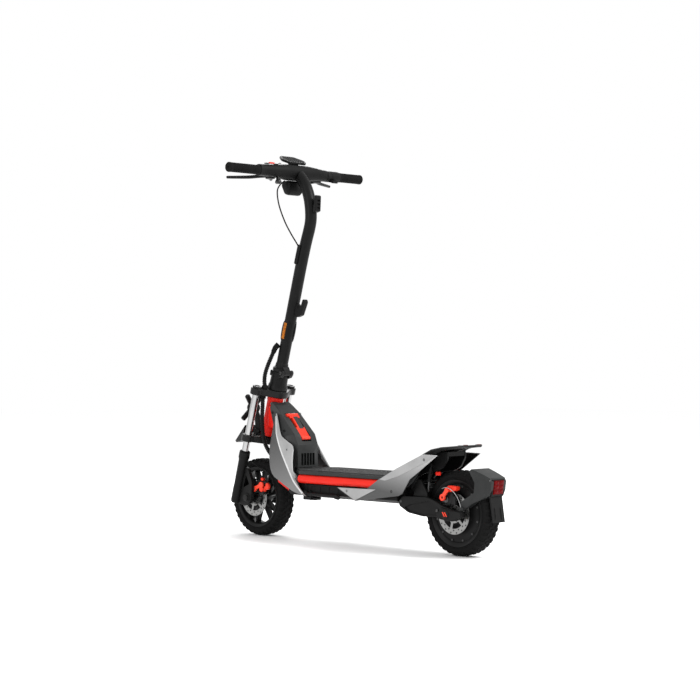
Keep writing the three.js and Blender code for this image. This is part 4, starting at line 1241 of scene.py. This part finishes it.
def tail_lamp():
    """Red lens in two rows of bevelled facets."""
    def corner(y, z, out):
        share = (252 - z) / 42
        return (-642.2 + 5.2 * share - out * 6.6, y, z)
    facets = []
    for row in range(3):
        for column in range(2):
            y0, y1 = -22 + 22 * column, 22 * column
            z0, z1 = 210 + 14 * row, 224 + 14 * row
            middle = corner((y0 + y1) / 2, (z0 + z1) / 2, 1)
            base = [corner(y, z, 0.1) for y in (y0, y1) for z in (z0, z1)]
            rim = [corner(y, z, 0.75) for y in (y0 + 0.4, y1 - 0.4) for z in (z0 + 0.4, z1 - 0.4)]
            facets.append(hull(base + rim + [middle]))
    backing = hull([corner(y, z, out) for y in (-24, 24) for z in (208.5, 253) for out in (0.0, 0.5)])
    return join(backing, *facets)


def lamp_bezel():
    frame_outline = hull([(-640 + 5.6 * (256 - z) / 52 - out, y, z)
                          for y in (-30, 30) for z in (202, 257) for out in (0, 4.4)])
    return soften(frame_outline, 1.6, 3)


DAMPER_EYE = (46.4, 60)


def damper_point(share, side):
    """A point on a damper's axis: share 0 is its upper eye, share 1 its lower one."""
    return (-398 + share * 14, side * 54, 292 - share * 92)


def damper_body(side):
    near, far = on_side(side, *DAMPER_EYE)
    eye = drum(-398, 292, 8, near, far, 36)
    can = rod(damper_point(0.05, side), damper_point(0.58, side), 6.6, 36)
    collars = [rod(damper_point(a, side), damper_point(a + 0.035, side), 7.4, 36, soft=0.6)
               for a in (0.13, 0.2, 0.27, 0.34, 0.41, 0.48, 0.54)]
    well = rod(damper_point(0.2, side), damper_point(0.7, side), 3.9, 24, soft=SHARP)
    return cut(join(eye, can, *collars), well)


def damper_shaft(side):
    near, far = on_side(side, *DAMPER_EYE)
    foot = drum(-384, 200, 7, near, far, 36)
    return join(foot, rod(damper_point(0.36, side), damper_point(0.95, side), 3.5, 28, soft=0.3))


def build_rear():
    place("swingarm_casting", swingarm(), "swingarm", BLACK, ["swingarm"])
    screws = [bolt(x, side * 80.2, z, (0, side, 0), 4.5, 1.2)
              for x, z in ((-286, 171), (-448, 149.5)) for side in (1, -1)]
    place("swingarm_screws", gathered(*screws), "swingarm", DARK_STEEL)
    place("rear_axle_turned", axle(REAR_HUB, 88, 13), "swingarm", ALLOY_BLACK, ["rear_axle"])
    cover, accent = axle_cover(), axle_accent()
    for side, _ in SIDES:
        place(f"swingarm_cover_{side}", handed(cover, side), "swingarm", BLACK)
        place(f"swingarm_accent_{side}", handed(accent, side), "swingarm", ORANGE)
    place("rear_calliper_body", rear_calliper(), "swingarm", ALLOY_BLACK, ["rear_caliper"])
    place("rear_calliper_dial", calliper_dial(-470, 186, 62.2, 13), "swingarm", DARK_STEEL)
    block_outline = rounded([(-478, 216), (-486, 232), (-524, 230), (-522, 218), (-496, 212)], 3)
    place("rear_cable_stop", soften(prism(block_outline, 52, 69.6), 1.5, 3), "swingarm", ORANGE)
    place("rear_calliper_link", lever_link((-486, 217), (-467, 193), 70.4, 76), "rear_caliper_arm", ORANGE,
          ["rear_caliper_arm"])
    lead = cable([(-466, 74.5, 222), (-486, 75.5, 226), (-506, 74, 219), (-522, 71, 205), (-531, 66, 186),
                  (-534, 59, 162)], 1.3)
    place("rear_brake_lead", lead, "swingarm", STEEL)
    place("fender_shell", rear_fender(), "swingarm", SHROUD, ["rear_fender"])
    place("mud_flap", mud_flap(), "swingarm", PLASTIC)
    place("tail_lamp_bezel", lamp_bezel(), "swingarm", PLASTIC)
    place("tail_lamp_lens", tail_lamp(), "swingarm", RED_LENS, ["tail_light"], crisp=12)
    for name, side in SIDES:
        body, shaft = damper_body(side), damper_shaft(side)
        place(f"damper_body_{name}", body, "shock_bodies", BLACK, [f"shock_body_{name}"])
        place(f"damper_shaft_{name}", shaft, "shock_shafts", DARK_STEEL, [f"shock_shaft_{name}"])


# ------------------------------------------------------------------ fork, in fork axes
def arc(cx, cy, radius, start, end, count):
    points = []
    for i in range(count):
        angle = math.radians(start + (end - start) * i / (count - 1))
        points.append((cx + radius * math.cos(angle), cy + radius * math.sin(angle)))
    return points


def crown_outline(reach):
    return [
        *arc(LEG_FORWARD, LEG_Y, LEG_EYE, 0, 200, 17),
        *arc(0, 0, reach, 130, 230, 13),
        *arc(LEG_FORWARD, -LEG_Y, LEG_EYE, 160, 360, 17),
    ]


def leg_rod(side, low, high, radius, sides, soft=1.0):
    """A round bar on the axis of one fork leg."""
    x, y = LEG_FORWARD, side * LEG_Y
    return rod((x, y, low), (x, y, high), radius, sides, soft=soft)


def leg_holes(low, high):
    return [leg_rod(side, low, high, LEG_BORE, 40, SHARP) for side in (1, -1)]


def pinch_bolts(height):
    """Clamp screws through the front of each eye of a crown."""
    heads = []
    for side in (1, -1):
        start = Vector((LEG_FORWARD + LEG_EYE, side * (LEG_Y - 12), height))
        heads.append(rod(start - Vector((9, 0, 0)), start + Vector((3.2, 0, 0)), 4.2, 24, soft=0.8))
    return gathered(*heads)


def lower_crown():
    plate = soften(slab(crown_outline(40), -121, -97), 3, 3)
    race = rod((0, 0, -98), (0, 0, -93.5), 29, 48)
    steerer = rod((0, 0, -100), (0, 0, 54.6), 20.5, 48)
    window = soften(slab(rounded([(8, 30), (26, 34), (26, 52), (8, 48)], 4), -130, -90), SHARP, 1)
    return cut(join(plate, race, steerer), *leg_holes(-130, -90), window)


def upper_crown():
    plate = soften(slab(crown_outline(44), 55, 79), 3, 3)
    race = rod((0, 0, 51.4), (0, 0, 56), 29, 48)
    hole = rod((0, 0, 40), (0, 0, 55), 21, 48, soft=SHARP)
    return cut(join(plate, race), hole, *leg_holes(40, 90))


def fork_cap(side):
    profile = [(0.3, 0), (16, 0), (17, 1.2), (17, 5.4), (15.5, 7.4), (9.5, 7.4), (8.5, 5.4), (0.3, 5.4)]
    return spin(profile, (LEG_FORWARD, side * LEG_Y, 79.4), UP, 48)


def fork_leg(side):
    """Lower leg: cast tube with a seal collar, a waist, and a dropout for the axle."""
    y = side * LEG_Y
    f, t = FRONT_DROP.x, FRONT_DROP.z
    tube = spin([
        (0.3, -356), (13, -356), (17, -352), (18, -346), (18, -300), (17.2, -290), (17.2, -196), (18, -190),
        (20, -184), (20, -168), (18.5, -164), (0.3, -164),
    ], (LEG_FORWARD, y, 0), UP, 56)
    near, far = on_side(side, 66, 80)
    plate = soften(prism(rounded([
        (LEG_FORWARD, -215), (LEG_FORWARD, -350), (-31, -352), (f - 17, t - 17), (f - 23, t + 1),
        (-46, -258),
        (-12, -217),
    ], 7), near, far), 2.0, 3)
    dropout = cut(plate, soften(prism([(-7, -240), (-34, -268), (-7, -290)], near - 6, far + 6), 2, 2))
    boss = drum(f, t, 17, near, far + (2 if side > 0 else 0), 48, soft=1.5)
    well = rod((LEG_FORWARD, y, -290), (LEG_FORWARD, y, -150), LEG_BORE, 40, soft=SHARP)
    hole = drum(f, t, AXLE_BORE, -100, 100, soft=SHARP)
    return cut(join(tube, dropout, boss), well, hole)


def dust_seal(side):
    profile = [(12.8, -164.4), (19.5, -164.4), (19.5, -161.5), (16, -158.5), (13.2, -157.5), (12.8, -158.5)]
    return spin(profile, (LEG_FORWARD, side * LEG_Y, 0), UP, 48)


def lamp_bars(radius, shrink, forward):
    f, t = LAMP.x, LAMP.z
    bars = []
    for lean in (1, -1):
        start = Vector((f + forward, -lean * (38 - shrink), t - 46 + shrink))
        end = Vector((f + forward, lean * (38 - shrink), t + 46 - shrink))
        bars.append(rod(start, end, radius, 28, soft=3))
    return bars


def headlight():
    """Crossed lamp bars round a barrel, on a stalk from the lower crown."""
    f, t = LAMP.x, LAMP.z
    barrel = spin([
        (0.3, -22), (17, -22), (20, -18), (20, 7), (18.5, 10), (15, 10), (14, 7), (0.3, 7),
    ], (f, 0, t), AHEAD, 48)
    outline = rounded([(f - 18, t - 8), (f - 12, t + 8), (46, -70), (40, -96), (62, -96)], 4)
    stalk = soften(prism(outline, -9, 9), 2, 3)
    foot = soften(block(36, 62, -16, 16, -96.4, -88), 1.4, 2)
    return join(*lamp_bars(9.5, 0, 0), barrel, stalk, foot)


def headlight_glass():
    f, t = LAMP.x, LAMP.z
    return spin([(0.3, 6.5), (14, 6.5), (14, 10), (11, 12), (6, 13), (0.3, 13.2)], (f, 0, t), AHEAD, 48)


def lamp_strips():
    """Pale light strips set in the front of the crossed bars."""
    f, t = LAMP.x, LAMP.z
    strips = []
    for lean in (1, -1):
        for end in (1, -1):
            a = Vector((f + 8.2, lean * end * 21, t + end * 25))
            b = Vector((f + 8.2, lean * end * 33, t + end * 40))
            strips.append(rod(a, b, 2.6, 16))
    return gathered(*strips)


def front_fender():
    shell = hull(both([
        (612, 8, 341), (602, 38, 341), (540, 58, 352), (540, 58, 346), (600, 34, 335), (576, 8, 399),
        (550, 36, 399), (556, 10, 382),
    ]))
    shell.transform(Matrix.Rotation(HEAD_ANGLE, 4, "Y") @ Matrix.Translation((-HEAD[0], 0, -HEAD[2])))
    tongue = prism([(42, -132), (42, -121.5), (96, -121.5), (130, -150), (120, -160), (80, -134)], -24, 24)
    return soften(join(shell, tongue), 1.8, 3, 20)


def fold_base():
    """Cone clamped on the upper crown, with the outer knuckles of the folding hinge."""
    f, t = FOLD
    cone = spin([
        (0.3, 79.4), (34, 79.4), (36, 81), (35, 94), (32, 100), (30.5, 134), (29, 138), (0.3, 138),
    ])
    pad = soften(block(-20, 26, -28, 28, 126, 146.6), 3, 3)
    knuckles = []
    root = [(f - 9, t - 4), (f - 4, t - 16), (-10, 118), (-10, 146), (f, t - 1)]
    for side in (1, -1):
        near, far = on_side(side, 14.5, 28)
        knuckles += [drum(f, t, 10, near, far, 40), prism(root, near, far)]
    relief = drum(f, t, 11.5, -14, 14, soft=SHARP)
    pin = drum(f, t, 4, -31, 31, 28)
    return join(cut(join(cone, pad, *knuckles), relief), pin)


def hinge_heads():
    f, t = FOLD
    return gathered(*[bolt(f, side * 28.4, t, (0, side, 0), 6.5, 2.2) for side in (1, -1)])


def front_calliper():
    f, t = FRONT_DROP.x - 38, FRONT_DROP.z + 46
    halves = [block(f - 22, f + 22, 34, 60, t - 16, t + 28), block(f - 27, f - 10, 49, 60, t + 14, t + 34)]
    body = soften(join(*halves), 2, 3)
    slot = block(f - 40, f + 40, ROTOR_Y - 2.5, ROTOR_Y + 5, t - 40, t + 23)
    mount = soften(prism([(f, t - 4), (f + 4, t + 16), (14, t + 24), (14, t - 20)], 52, 59), 1.2, 2)
    tab = block(-2, 14, 52, 66, t - 20, t + 24)
    leg_clear = rod((LEG_FORWARD, LEG_Y, -370), (LEG_FORWARD, LEG_Y, -150), 20.6, 40, soft=SHARP)
    return cut(join(body, mount, tab), slot, leg_clear)


def front_cover(f, t):
    """Round housing over the front calliper, with a smaller lobe behind it."""
    lobes = join(drum(f - 4, t + 6, 21, 47.5, 60, 56, soft=2.5),
                 drum(f - 28, t + 18, 13, 47.5, 60, 44, soft=2.5))
    return soften(lobes, 0.6, 2, 60)


FRONT_DROP = centre_of("front_axle", FORK)
HEAD_COS, HEAD_SIN = 0.961262, 0.275637
LAMP_AHEAD, LAMP_UP = 113, 8
LAMP = Vector((HEAD_COS * LAMP_AHEAD + HEAD_SIN * LAMP_UP, 0, HEAD_COS * LAMP_UP - HEAD_SIN * LAMP_AHEAD))


def build_fork():
    place("crown_lower", lower_crown(), "steer", ALLOY_BLACK, ["lower_crown"], FORK)
    place("crown_upper", upper_crown(), "steer", ALLOY_BLACK, ["upper_crown"], FORK)
    place("crown_bolts_lower", pinch_bolts(-109), "steer", DARK_STEEL, at=FORK)
    place("crown_bolts_upper", pinch_bolts(67), "steer", DARK_STEEL, at=FORK)
    place("lamp_body", headlight(), "steer", PLASTIC, ["headlight"], FORK)
    place("lamp_glass", headlight_glass(), "steer", WHITE_LENS, at=FORK)
    place("lamp_strips", lamp_strips(), "steer", WHITE_LENS, at=FORK)
    place("front_guard", front_fender(), "steer", PLASTIC, ["front_fender"], FORK)
    place("fold_cone", fold_base(), "steer", BLACK, ["fold_base"], FORK)
    place("fold_pin_heads", hinge_heads(), "steer", DARK_STEEL, at=FORK)
    for name, side in SIDES:
        tube = leg_rod(side, -236, 79, 12.5, 56)
        place(f"stanchion_tube_{name}", tube, "steer", CHROME, [f"stanchion_{name}"], FORK)
        place(f"fork_cap_{name}", fork_cap(side), "steer", ALLOY_BLACK, at=FORK)
        place(f"lower_leg_{name}", fork_leg(side), "fork_lower", BLACK, [f"fork_leg_{name}"], FORK)
        place(f"dust_seal_{name}", dust_seal(side), "fork_lower", GRIP_RUBBER, at=FORK)
    shaft = axle(Vector((FRONT_HUB.x, 0, FRONT_HUB.z)), 90, 12)
    place("front_axle_turned", shaft, "fork_lower", ALLOY_BLACK, ["front_axle"])
    place("front_calliper_body", front_calliper(), "fork_lower", ALLOY_BLACK, ["front_caliper"], FORK)
    f, t = FRONT_DROP.x - 38, FRONT_DROP.z + 46
    place("front_calliper_cover", front_cover(f, t), "fork_lower", ORANGE, at=FORK)
    place("front_calliper_dial", calliper_dial(f - 8, t + 2, 60.1, 11), "fork_lower", ORANGE, at=FORK)
    stop = soften(block(f - 6, f + 6, 48, 60, t + 30, t + 40), 2, 3)
    place("front_cable_stop", stop, "fork_lower", ORANGE, at=FORK)
    route = [(f, 54, t + 38), (f + 9, 55, t + 57), (f + 32, 59, t + 72), (f + 60, 66, t + 79),
             (8, 72, t + 80)]
    place("front_brake_lead", cable(route, 1.6), "fork_lower", PLASTIC, at=FORK)
    link = lever_link((f - 6, t + 16), (f + 26, t - 9), 60.4, 65.6, root=11)
    place("front_calliper_link", link, "front_caliper_arm", ORANGE, ["front_caliper_arm"], FORK)


# ------------------------------------------------------------------ stem and bar
def from_fork(f, y, t):
    return HEAD_AXES @ Vector((f, y, t))


def stem_path():
    lower = [from_fork(f, 0, t) for f, t in ((0, 172), (0, 260), (0, 400), (0, 540), (-2, 620), (-6, 690))]
    return lower + [(235, 0, 1158), (242, 0, 1208), (258, 0, 1250), (283, 0, 1284), (300, 0, 1300)]


def stem_tube():
    f, t = FOLD
    column = sweep(smooth_path(stem_path(), 90), lambda share: (21, 21), 40)
    flange = spin([
        (0.3, 147.8), (29, 147.8), (30, 149.5), (30, 158), (28, 160), (24, 163), (22.5, 176), (21, 178),
        (0.3, 178),
    ])
    knuckle = drum(f, t, 10, -14, 14)
    web = prism([(f - 8, t + 5), (f, t + 1), (f + 12, t + 1), (-14, 149), (-14, 172), (-24, 168)], -14, 14)
    clears = [drum(f, t, 11, -60, -14.2, soft=SHARP), drum(f, t, 11, 14.2, 60, soft=SHARP),
              drum(f, t, 4.5, -40, 40, soft=SHARP)]
    for mesh in (flange, knuckle, web, *clears):
        mesh.transform(HEAD_AXES)
    bar_clear = drum(BAR_X, BAR_Z, 31, -60, 60, soft=SHARP)
    return cut(join(column, flange, knuckle, web), *clears, bar_clear)


def reflector_band(low, high, side):
    """Amber reflector let into its housing on the stem's side."""
    sections = []
    for i in range(15):
        angle = math.radians(84 + 26 * i / 14) * side
        ring = []
        for r, t in ((22.0, low), (25.9, low + 3), (25.9, high - 3), (22.0, high)):
            ring.append(from_fork(r * math.cos(angle), r * math.sin(angle), t))
        sections.append(ring)
    return loft(sections)


def reflector_housing(low, high, side):
    """Oval moulding round a reflector, thickest at its middle."""
    sections = []
    for i in range(25):
        share = i / 24
        height = low + (high - low) * share
        swell = math.sin(math.pi * min(1, max(0, share))) ** 0.45
        ring = []
        for k in range(24):
            angle = math.radians(98 + 62 * swell * math.cos(turn(k, 24))) * side
            r = 19.5 + (5.6 * swell + 0.4) * (1 if math.sin(turn(k, 24)) > 0 else 0)
            ring.append(from_fork(r * math.cos(angle), r * math.sin(angle), height))
        sections.append(ring)
    return loft(sections)


def bar_cover():
    """Moulded cover round the middle of the bar, thickest over the stem."""
    def section(y, front, back, top, low):
        shape = [(front, 4), (front * 0.82, top * 0.72), (front * 0.45, top), (-back * 0.45, top),
                 (-back * 0.85, top * 0.68), (-back, 0), (-back * 0.75, -low * 0.7), (-back * 0.4, -low),
                 (front * 0.6, -low), (front * 0.9, -low * 0.6)]
        return [(BAR_X + x, y, BAR_Z + z) for x, z in rounded(shape, 8, 2)]
    stations = [
        (180, 19, 19, 20.5, 19), (150, 20.5, 20, 21.5, 19.5), (90, 26, 24, 25, 21), (60, 33, 25.5, 28, 24),
        (42, 36, 26, 29, 25.5), (-42, 36, 26, 29, 25.5), (-60, 33, 25.5, 28, 24), (-90, 26, 24, 25, 21),
        (-120, 20.5, 20, 21.5, 19.5), (-140, 19, 19, 20.5, 19),
    ]
    shell = loft([section(*numbers) for numbers in stations])
    button_well = rod((BAR_X - 6, 86, BAR_Z + 24.8), (BAR_X - 6, 86, BAR_Z + 40), 7.2, 36, soft=SHARP)
    return cut(shell, drum(BAR_X, BAR_Z, 11.4, -400, 400, soft=SHARP), button_well)


DISPLAY_TILT = math.radians(24)
DISPLAY_OUTLINE = [(-34, -40), (-34, 40), (-6, 56), (34, 34), (34, -34), (-6, -56)]


def on_display(mesh):
    mesh.transform(Matrix.Translation((BAR_X + 24, 0, BAR_Z + 44)) @ Matrix.Rotation(-DISPLAY_TILT, 4, "Y"))
    return mesh


def display():
    pad = slab(rounded(DISPLAY_OUTLINE, 9, 4), 0, 9)
    dish = slab(rounded([(x * 0.86, y * 0.86) for x, y in DISPLAY_OUTLINE], 7, 4), 7.4, 12)
    pedestal = hull(both([
        (BAR_X + 4, 16, BAR_Z + 29.4), (BAR_X + 22, 16, BAR_Z + 29.4),
        (BAR_X + 12, 20, BAR_Z + 41), (BAR_X + 38, 20, BAR_Z + 52),
    ]))
    return join(on_display(cut(soften(pad, 2.2, 3), dish)), soften(pedestal, 2, 2))


def display_glass():
    outline = rounded([(x * 0.85, y * 0.85) for x, y in DISPLAY_OUTLINE], 7, 4)
    return on_display(soften(slab(outline, 7.2, 8.6), 0.4, 2))


def bar_light():
    shape = hull(both([
        (352, 34, 1280), (352, 40, 1262), (346, 30, 1232), (322, 30, 1226), (310, 40, 1246),
        (318, 36, 1280),
    ]))
    return soften(shape, 9, 5, 15)


def bar_light_lens():
    return soften(hull(both([(351, 26, 1272), (351, 30, 1262), (347.5, 22, 1242), (353, 26, 1270),
                             (353, 29, 1262), (350, 22, 1244)])), 1.2, 2)


def grip(side):
    """Rubber grip: plain collar, fine rings under the fingers, and a closed end."""
    inner = 180.8 if side > 0 else 205.4
    profile = [(11.4, inner), (16.8, inner), (17.5, inner + 1.2), (17.5, inner + 9), (16.4, inner + 10.5)]
    start, end = inner + 12, BAR_HALF - 12
    rings = int((end - start) / 3.2)
    for i in range(rings):
        y = start + (end - start) * i / rings
        profile += [(16.2, y), (16.9, y + 0.7), (16.9, y + 2.1), (16.2, y + 2.8)]
    profile += [(17.2, BAR_HALF - 10), (17.5, BAR_HALF - 8), (17.5, BAR_HALF - 2.5), (16, BAR_HALF - 0.4),
                (3, BAR_HALF - 0.2), (3, BAR_HALF - 3.4), (11.4, BAR_HALF - 3.6)]
    return spin(profile, (BAR_X, 0, BAR_Z), (0, side, 0), 48)


def throttle():
    ring = spin([
        (11.4, 141.2), (19, 141.2), (20, 142.4), (20, 160), (19.2, 161), (19.2, 163), (20, 164), (20, 197),
        (18.6, 203.6), (11.4, 203.6),
    ], (BAR_X, 0, BAR_Z), (0, -1, 0), 56)
    paddle = soften(prism(rounded([
        (BAR_X - 14, BAR_Z - 12), (BAR_X - 34, BAR_Z - 20), (BAR_X - 30, BAR_Z - 27),
        (BAR_X - 4, BAR_Z - 18),
    ], 2.5), -176, -152), 1.6, 3)
    return cut(join(ring, paddle), drum(BAR_X, BAR_Z, 11.4, -220, -100, soft=SHARP))


def brake_lever(side):
    """Round-edged blade that sweeps forward and thins to a ball end."""
    z = BAR_Z - 14
    route = [(350, 118, z), (358, 138, z - 2), (371, 168, z - 6), (385, 208, z - 8.5), (400, 246, z - 10)]
    path = smooth_path([(x, side * y, h) for x, y, h in route], 40)
    blade = sweep(path, lambda share: (6.8 - 1.6 * share, 5.2 - 1.2 * share), 20, up=UP)
    hub = rod((350, side * 118, z - 6), (350, side * 118, z + 6), 9, 40, soft=1.5)
    ball = spin([(0.3, -5.2), (3.4, -4.2), (5.2, -1.6), (5.4, 1), (4, 4), (0.3, 5.2)],
                (400.5, side * 246.6, z - 10), UP, 32)
    return join(hub, blade, ball)


def lever_perch(side):
    """Clamp that carries the lever, with its cable adjuster."""
    z = BAR_Z - 14
    clamp = hull([
        (316, side * 96, z - 12), (316, side * 128, z - 12), (316, side * 96, z + 10),
        (316, side * 128, z + 10),
        (341, side * 100, z - 14), (341, side * 124, z - 12), (341, side * 100, z + 9),
        (341, side * 124, z + 9),
    ])
    barrel = rod((334, side * 104, z - 8), (352, side * 86, z - 10), 6.2, 28, soft=2)
    return join(soften(clamp, 3.5, 3), barrel)


def bell():
    profile = [(0.3, -8), (8.5, -8), (11.5, -5), (12, 0), (10, 5.5), (5.5, 9), (0.3, 10)]
    dome = spin(profile, (306, 92, 1270), UP, 40)
    strap = soften(block(300, 312, 86, 98, 1274, 1287), 1.5, 2)
    return join(dome, strap)


def button_pad():
    """Four small keys on the bar cover, beside the switches."""
    keys = [soften(block(BAR_X - 14, BAR_X - 5, y, y + 7, BAR_Z + 22, BAR_Z + 26.8), 1.2, 2)
            for y in (98, 108, 142, 151)]
    return gathered(*keys)


def stow_bracket():
    outline = rounded([(214, 1160), (197, 1164), (194, 1218), (203, 1222), (209, 1190), (211.5, 1186)], 3)
    body = soften(prism(outline, -11, 11), 1.8, 3)
    slots = [soften(block(190, 200.5, -6.5, 6.5, z, z + 7), 1, 1) for z in (1172, 1185, 1198)]
    return cut(body, *slots)


def bag_hook():
    def back(f, t):
        point = from_fork(f, 0, t)
        return (point.x, point.z)
    outline = rounded([
        back(-20, 404), back(-20, 362), back(-36, 358), back(-56, 371), back(-64, 421), back(-57, 430),
        back(-48, 427), back(-45, 396), back(-37, 386), back(-30, 392), back(-30, 404),
    ], 4)
    return soften(prism(outline, -8, 8), 2, 3)


CABLE_ROUTE = [(322, 47, 1277), (320, 71, 1261), (318, 86, 1236), (305, 89, 1186), (290, 75, 1128),
               (278, 56, 1085), (269, 32, 1045), (272, 26, 1030)]
UPPER_SLEEVE = [(392, 30, 680), (406, 36, 648), (420, 41, 616), (428, 46, 586), (427, 50, 562),
                (422, 52, 541)]
LOWER_SLEEVE = [(429, 56, 502), (428, 58, 470), (428, 60, 421), (421, 60, 360), (404, 58, 322),
                (380, 56, 298), (352, 54, 286)]


def cable_guide():
    """Long clip on the stem's left side that takes the brake cable."""
    a = Vector((268, 25, 1048))
    b = Vector((290, 24, 980))
    feet = [rod(a + Vector((2, -3, -8)), a + Vector((5, -10, -18)), 4.5, 20),
            rod(b + Vector((-3, -3, 14)), b + Vector((0, -10, 6)), 4.5, 20)]
    return join(rod(a, b, 6.2, 28, soft=3), *feet)


def sleeve_port():
    """Rubber boot where the upper sleeve leaves the stem."""
    path = smooth_path([(384, 20, 694), (390, 28, 684), (394, 31, 675), (398, 33, 666)], 16)
    return sweep(path, lambda share: (10.5 - 1.5 * share, 10.5 - 1.5 * share), 24, up=(0, 1, 0.3))


def sleeve_boots():
    """Rubber boots where the two sleeves meet the upper crown, above and below it."""
    above = rod((422, 52, 533.8), (422, 52, 547), 11, 32, soft=1.5)
    below = rod((429, 56, 498), (429, 56, 512.5), 11, 32, soft=1.5)
    return gathered(above, below)


def build_stem():
    place("stem_column", stem_tube(), "stem", BLACK, ["stem_tube"])
    place("bar", drum(BAR_X, BAR_Z, 11, -316, 316, 48), "stem", ALLOY_BLACK, ["handlebar"])
    place("bar_shell", bar_cover(), "stem", PLASTIC, ["bar_cover"], crisp=45)
    place("display_case", display(), "stem", PLASTIC, ["display"])
    place("display_glass", display_glass(), "stem", GLASS_BLACK)
    place("bar_lamp", bar_light(), "stem", PLASTIC, ["bar_light"])
    place("bar_lamp_lens", bar_light_lens(), "stem", WHITE_LENS)
    place("bell", bell(), "stem", GLOSS_BLACK)
    place("switch_keys", button_pad(), "stem", GLOSS_BLACK)
    for name, side in SIDES:
        place(f"grip_rubber_{name}", grip(side), "stem", GRIP_RUBBER, [f"grip_{name}"], crisp=50)
        place(f"lever_perch_{name}", lever_perch(side), "stem", ALLOY_BLACK)
        lever = f"brake_lever_{name}"
        place(f"lever_blade_{name}", brake_lever(side), lever, ALLOY_BLACK, [lever])
    for name, side in SIDES:
        place(f"reflector_housing_{name}", reflector_housing(256, 340, side), "stem", PLASTIC, crisp=60)
        place(f"stem_reflector_{name}", reflector_band(268, 330, side), "stem", AMBER)
    place("throttle_ring", throttle(), "throttle", PLASTIC, ["throttle"])
    switch = soften(block(BAR_X - 16, BAR_X - 4, 118, 138, BAR_Z + 24.6, BAR_Z + 30), 1.8, 3)
    place("turn_switch_key", switch, "turn_switch", ORANGE, ["turn_switch"])
    button = rod((BAR_X - 6, 86, BAR_Z + 27.4), (BAR_X - 6, 86, BAR_Z + 31), 6, 36, soft=0.8)
    place("mode_button_cap", button, "mode_button", STEEL, ["mode_button"])
    place("stow_hook", stow_bracket(), "stem", PLASTIC, ["stow_bracket"])
    place("bag_hook_moulded", bag_hook(), "stem", PLASTIC, ["bag_hook"])
    place("brake_lead", cable(CABLE_ROUTE, 2.5, 70), "stem", PLASTIC, ["brake_cable"])
    place("cable_guide", cable_guide(), "stem", PLASTIC)
    upper = ribbed_sleeve(smooth_path(UPPER_SLEEVE, 60), 8.2, 1.8, 6.4)
    lower = ribbed_sleeve(smooth_path(LOWER_SLEEVE, 90), 8.2, 1.8, 6.4)
    place_bending("upper_sleeve", upper, PLASTIC,
                  ["harness_upper"])
    place_bending("lower_sleeve", lower, PLASTIC,
                  ["harness_lower"])
    place("sleeve_port", sleeve_port(), "stem", GRIP_RUBBER)
    place("sleeve_boots", sleeve_boots(), "steer", GRIP_RUBBER)


# ------------------------------------------------------------------ stage, light and camera
def build_stage():
    material, tree, shader = base_material("pale_floor", "", 0.9, 0.0, specular=0.0)
    noise = node_of(tree, "ShaderNodeTexNoise", Scale=3.0)
    color = two_tones(tree, noise, "Fac", grey(0.985), grey(1.0))
    tree.links.new(color, shader.inputs["Base Color"])
    mesh = bpy.data.meshes.new("floor")
    reach = 14.0
    mesh.from_pydata([(-reach, -reach, 0), (reach, -reach, 0), (reach, reach, 0), (-reach, reach, 0)], [],
                     [(0, 1, 2, 3)])
    floor_piece = bpy.data.objects.new("floor", mesh)
    floor_piece.location.z = -0.0005
    mesh.materials.append(material)
    bpy.context.scene.collection.objects.link(floor_piece)


MIDDLE = (0, 0, 0.6)


def area_light(name, place_at, size, power):
    """A rectangular light that faces the middle of the scooter."""
    light = bpy.data.lights.new(name, "AREA")
    light.shape = "RECTANGLE"
    light.size, light.size_y = size
    light.energy = power
    lamp = bpy.data.objects.new(name, light)
    lamp.location = place_at
    lamp.rotation_euler = (Vector(MIDDLE) - Vector(place_at)).to_track_quat("-Z", "Y").to_euler()
    bpy.context.scene.collection.objects.link(lamp)


def build_lights():
    world = bpy.data.worlds.new("studio")
    world.use_nodes = True
    background = world.node_tree.nodes["Background"]
    background.inputs["Color"].default_value = (1.0, 1.0, 1.0, 1)
    background.inputs["Strength"].default_value = 1.0
    bpy.context.scene.world = world
    bpy.context.scene.view_settings.view_transform = "Standard"
    area_light("key", (-3.4, -1.4, 3.6), (1.4, 1.8), 160)
    area_light("side", (0.6, 4.4, 2.0), (1.6, 2.0), 45)
    area_light("rim", (2.6, -1.6, 2.6), (2.0, 2.0), 60)


# The photo's camera, fitted to the circles of its wheels and discs.
CAMERA_AT = (-4.3745, 4.3232, 0.6401)
CAMERA_AIM = (0.7150, -0.6991, 0.00525)
CAMERA_LENS = 91.62


def build_camera():
    camera = bpy.data.cameras.new("camera")
    camera.sensor_width = 36
    camera.lens = CAMERA_LENS
    eye = bpy.data.objects.new("camera", camera)
    eye.location = CAMERA_AT
    eye.rotation_euler = Vector(CAMERA_AIM).to_track_quat("-Z", "Y").to_euler()
    bpy.context.scene.collection.objects.link(eye)
    bpy.context.scene.camera = eye


build_camera()
build_lights()
build_stage()
build_wheels()
build_chassis()
build_latch_and_stand()
build_rear()
build_fork()
build_stem()
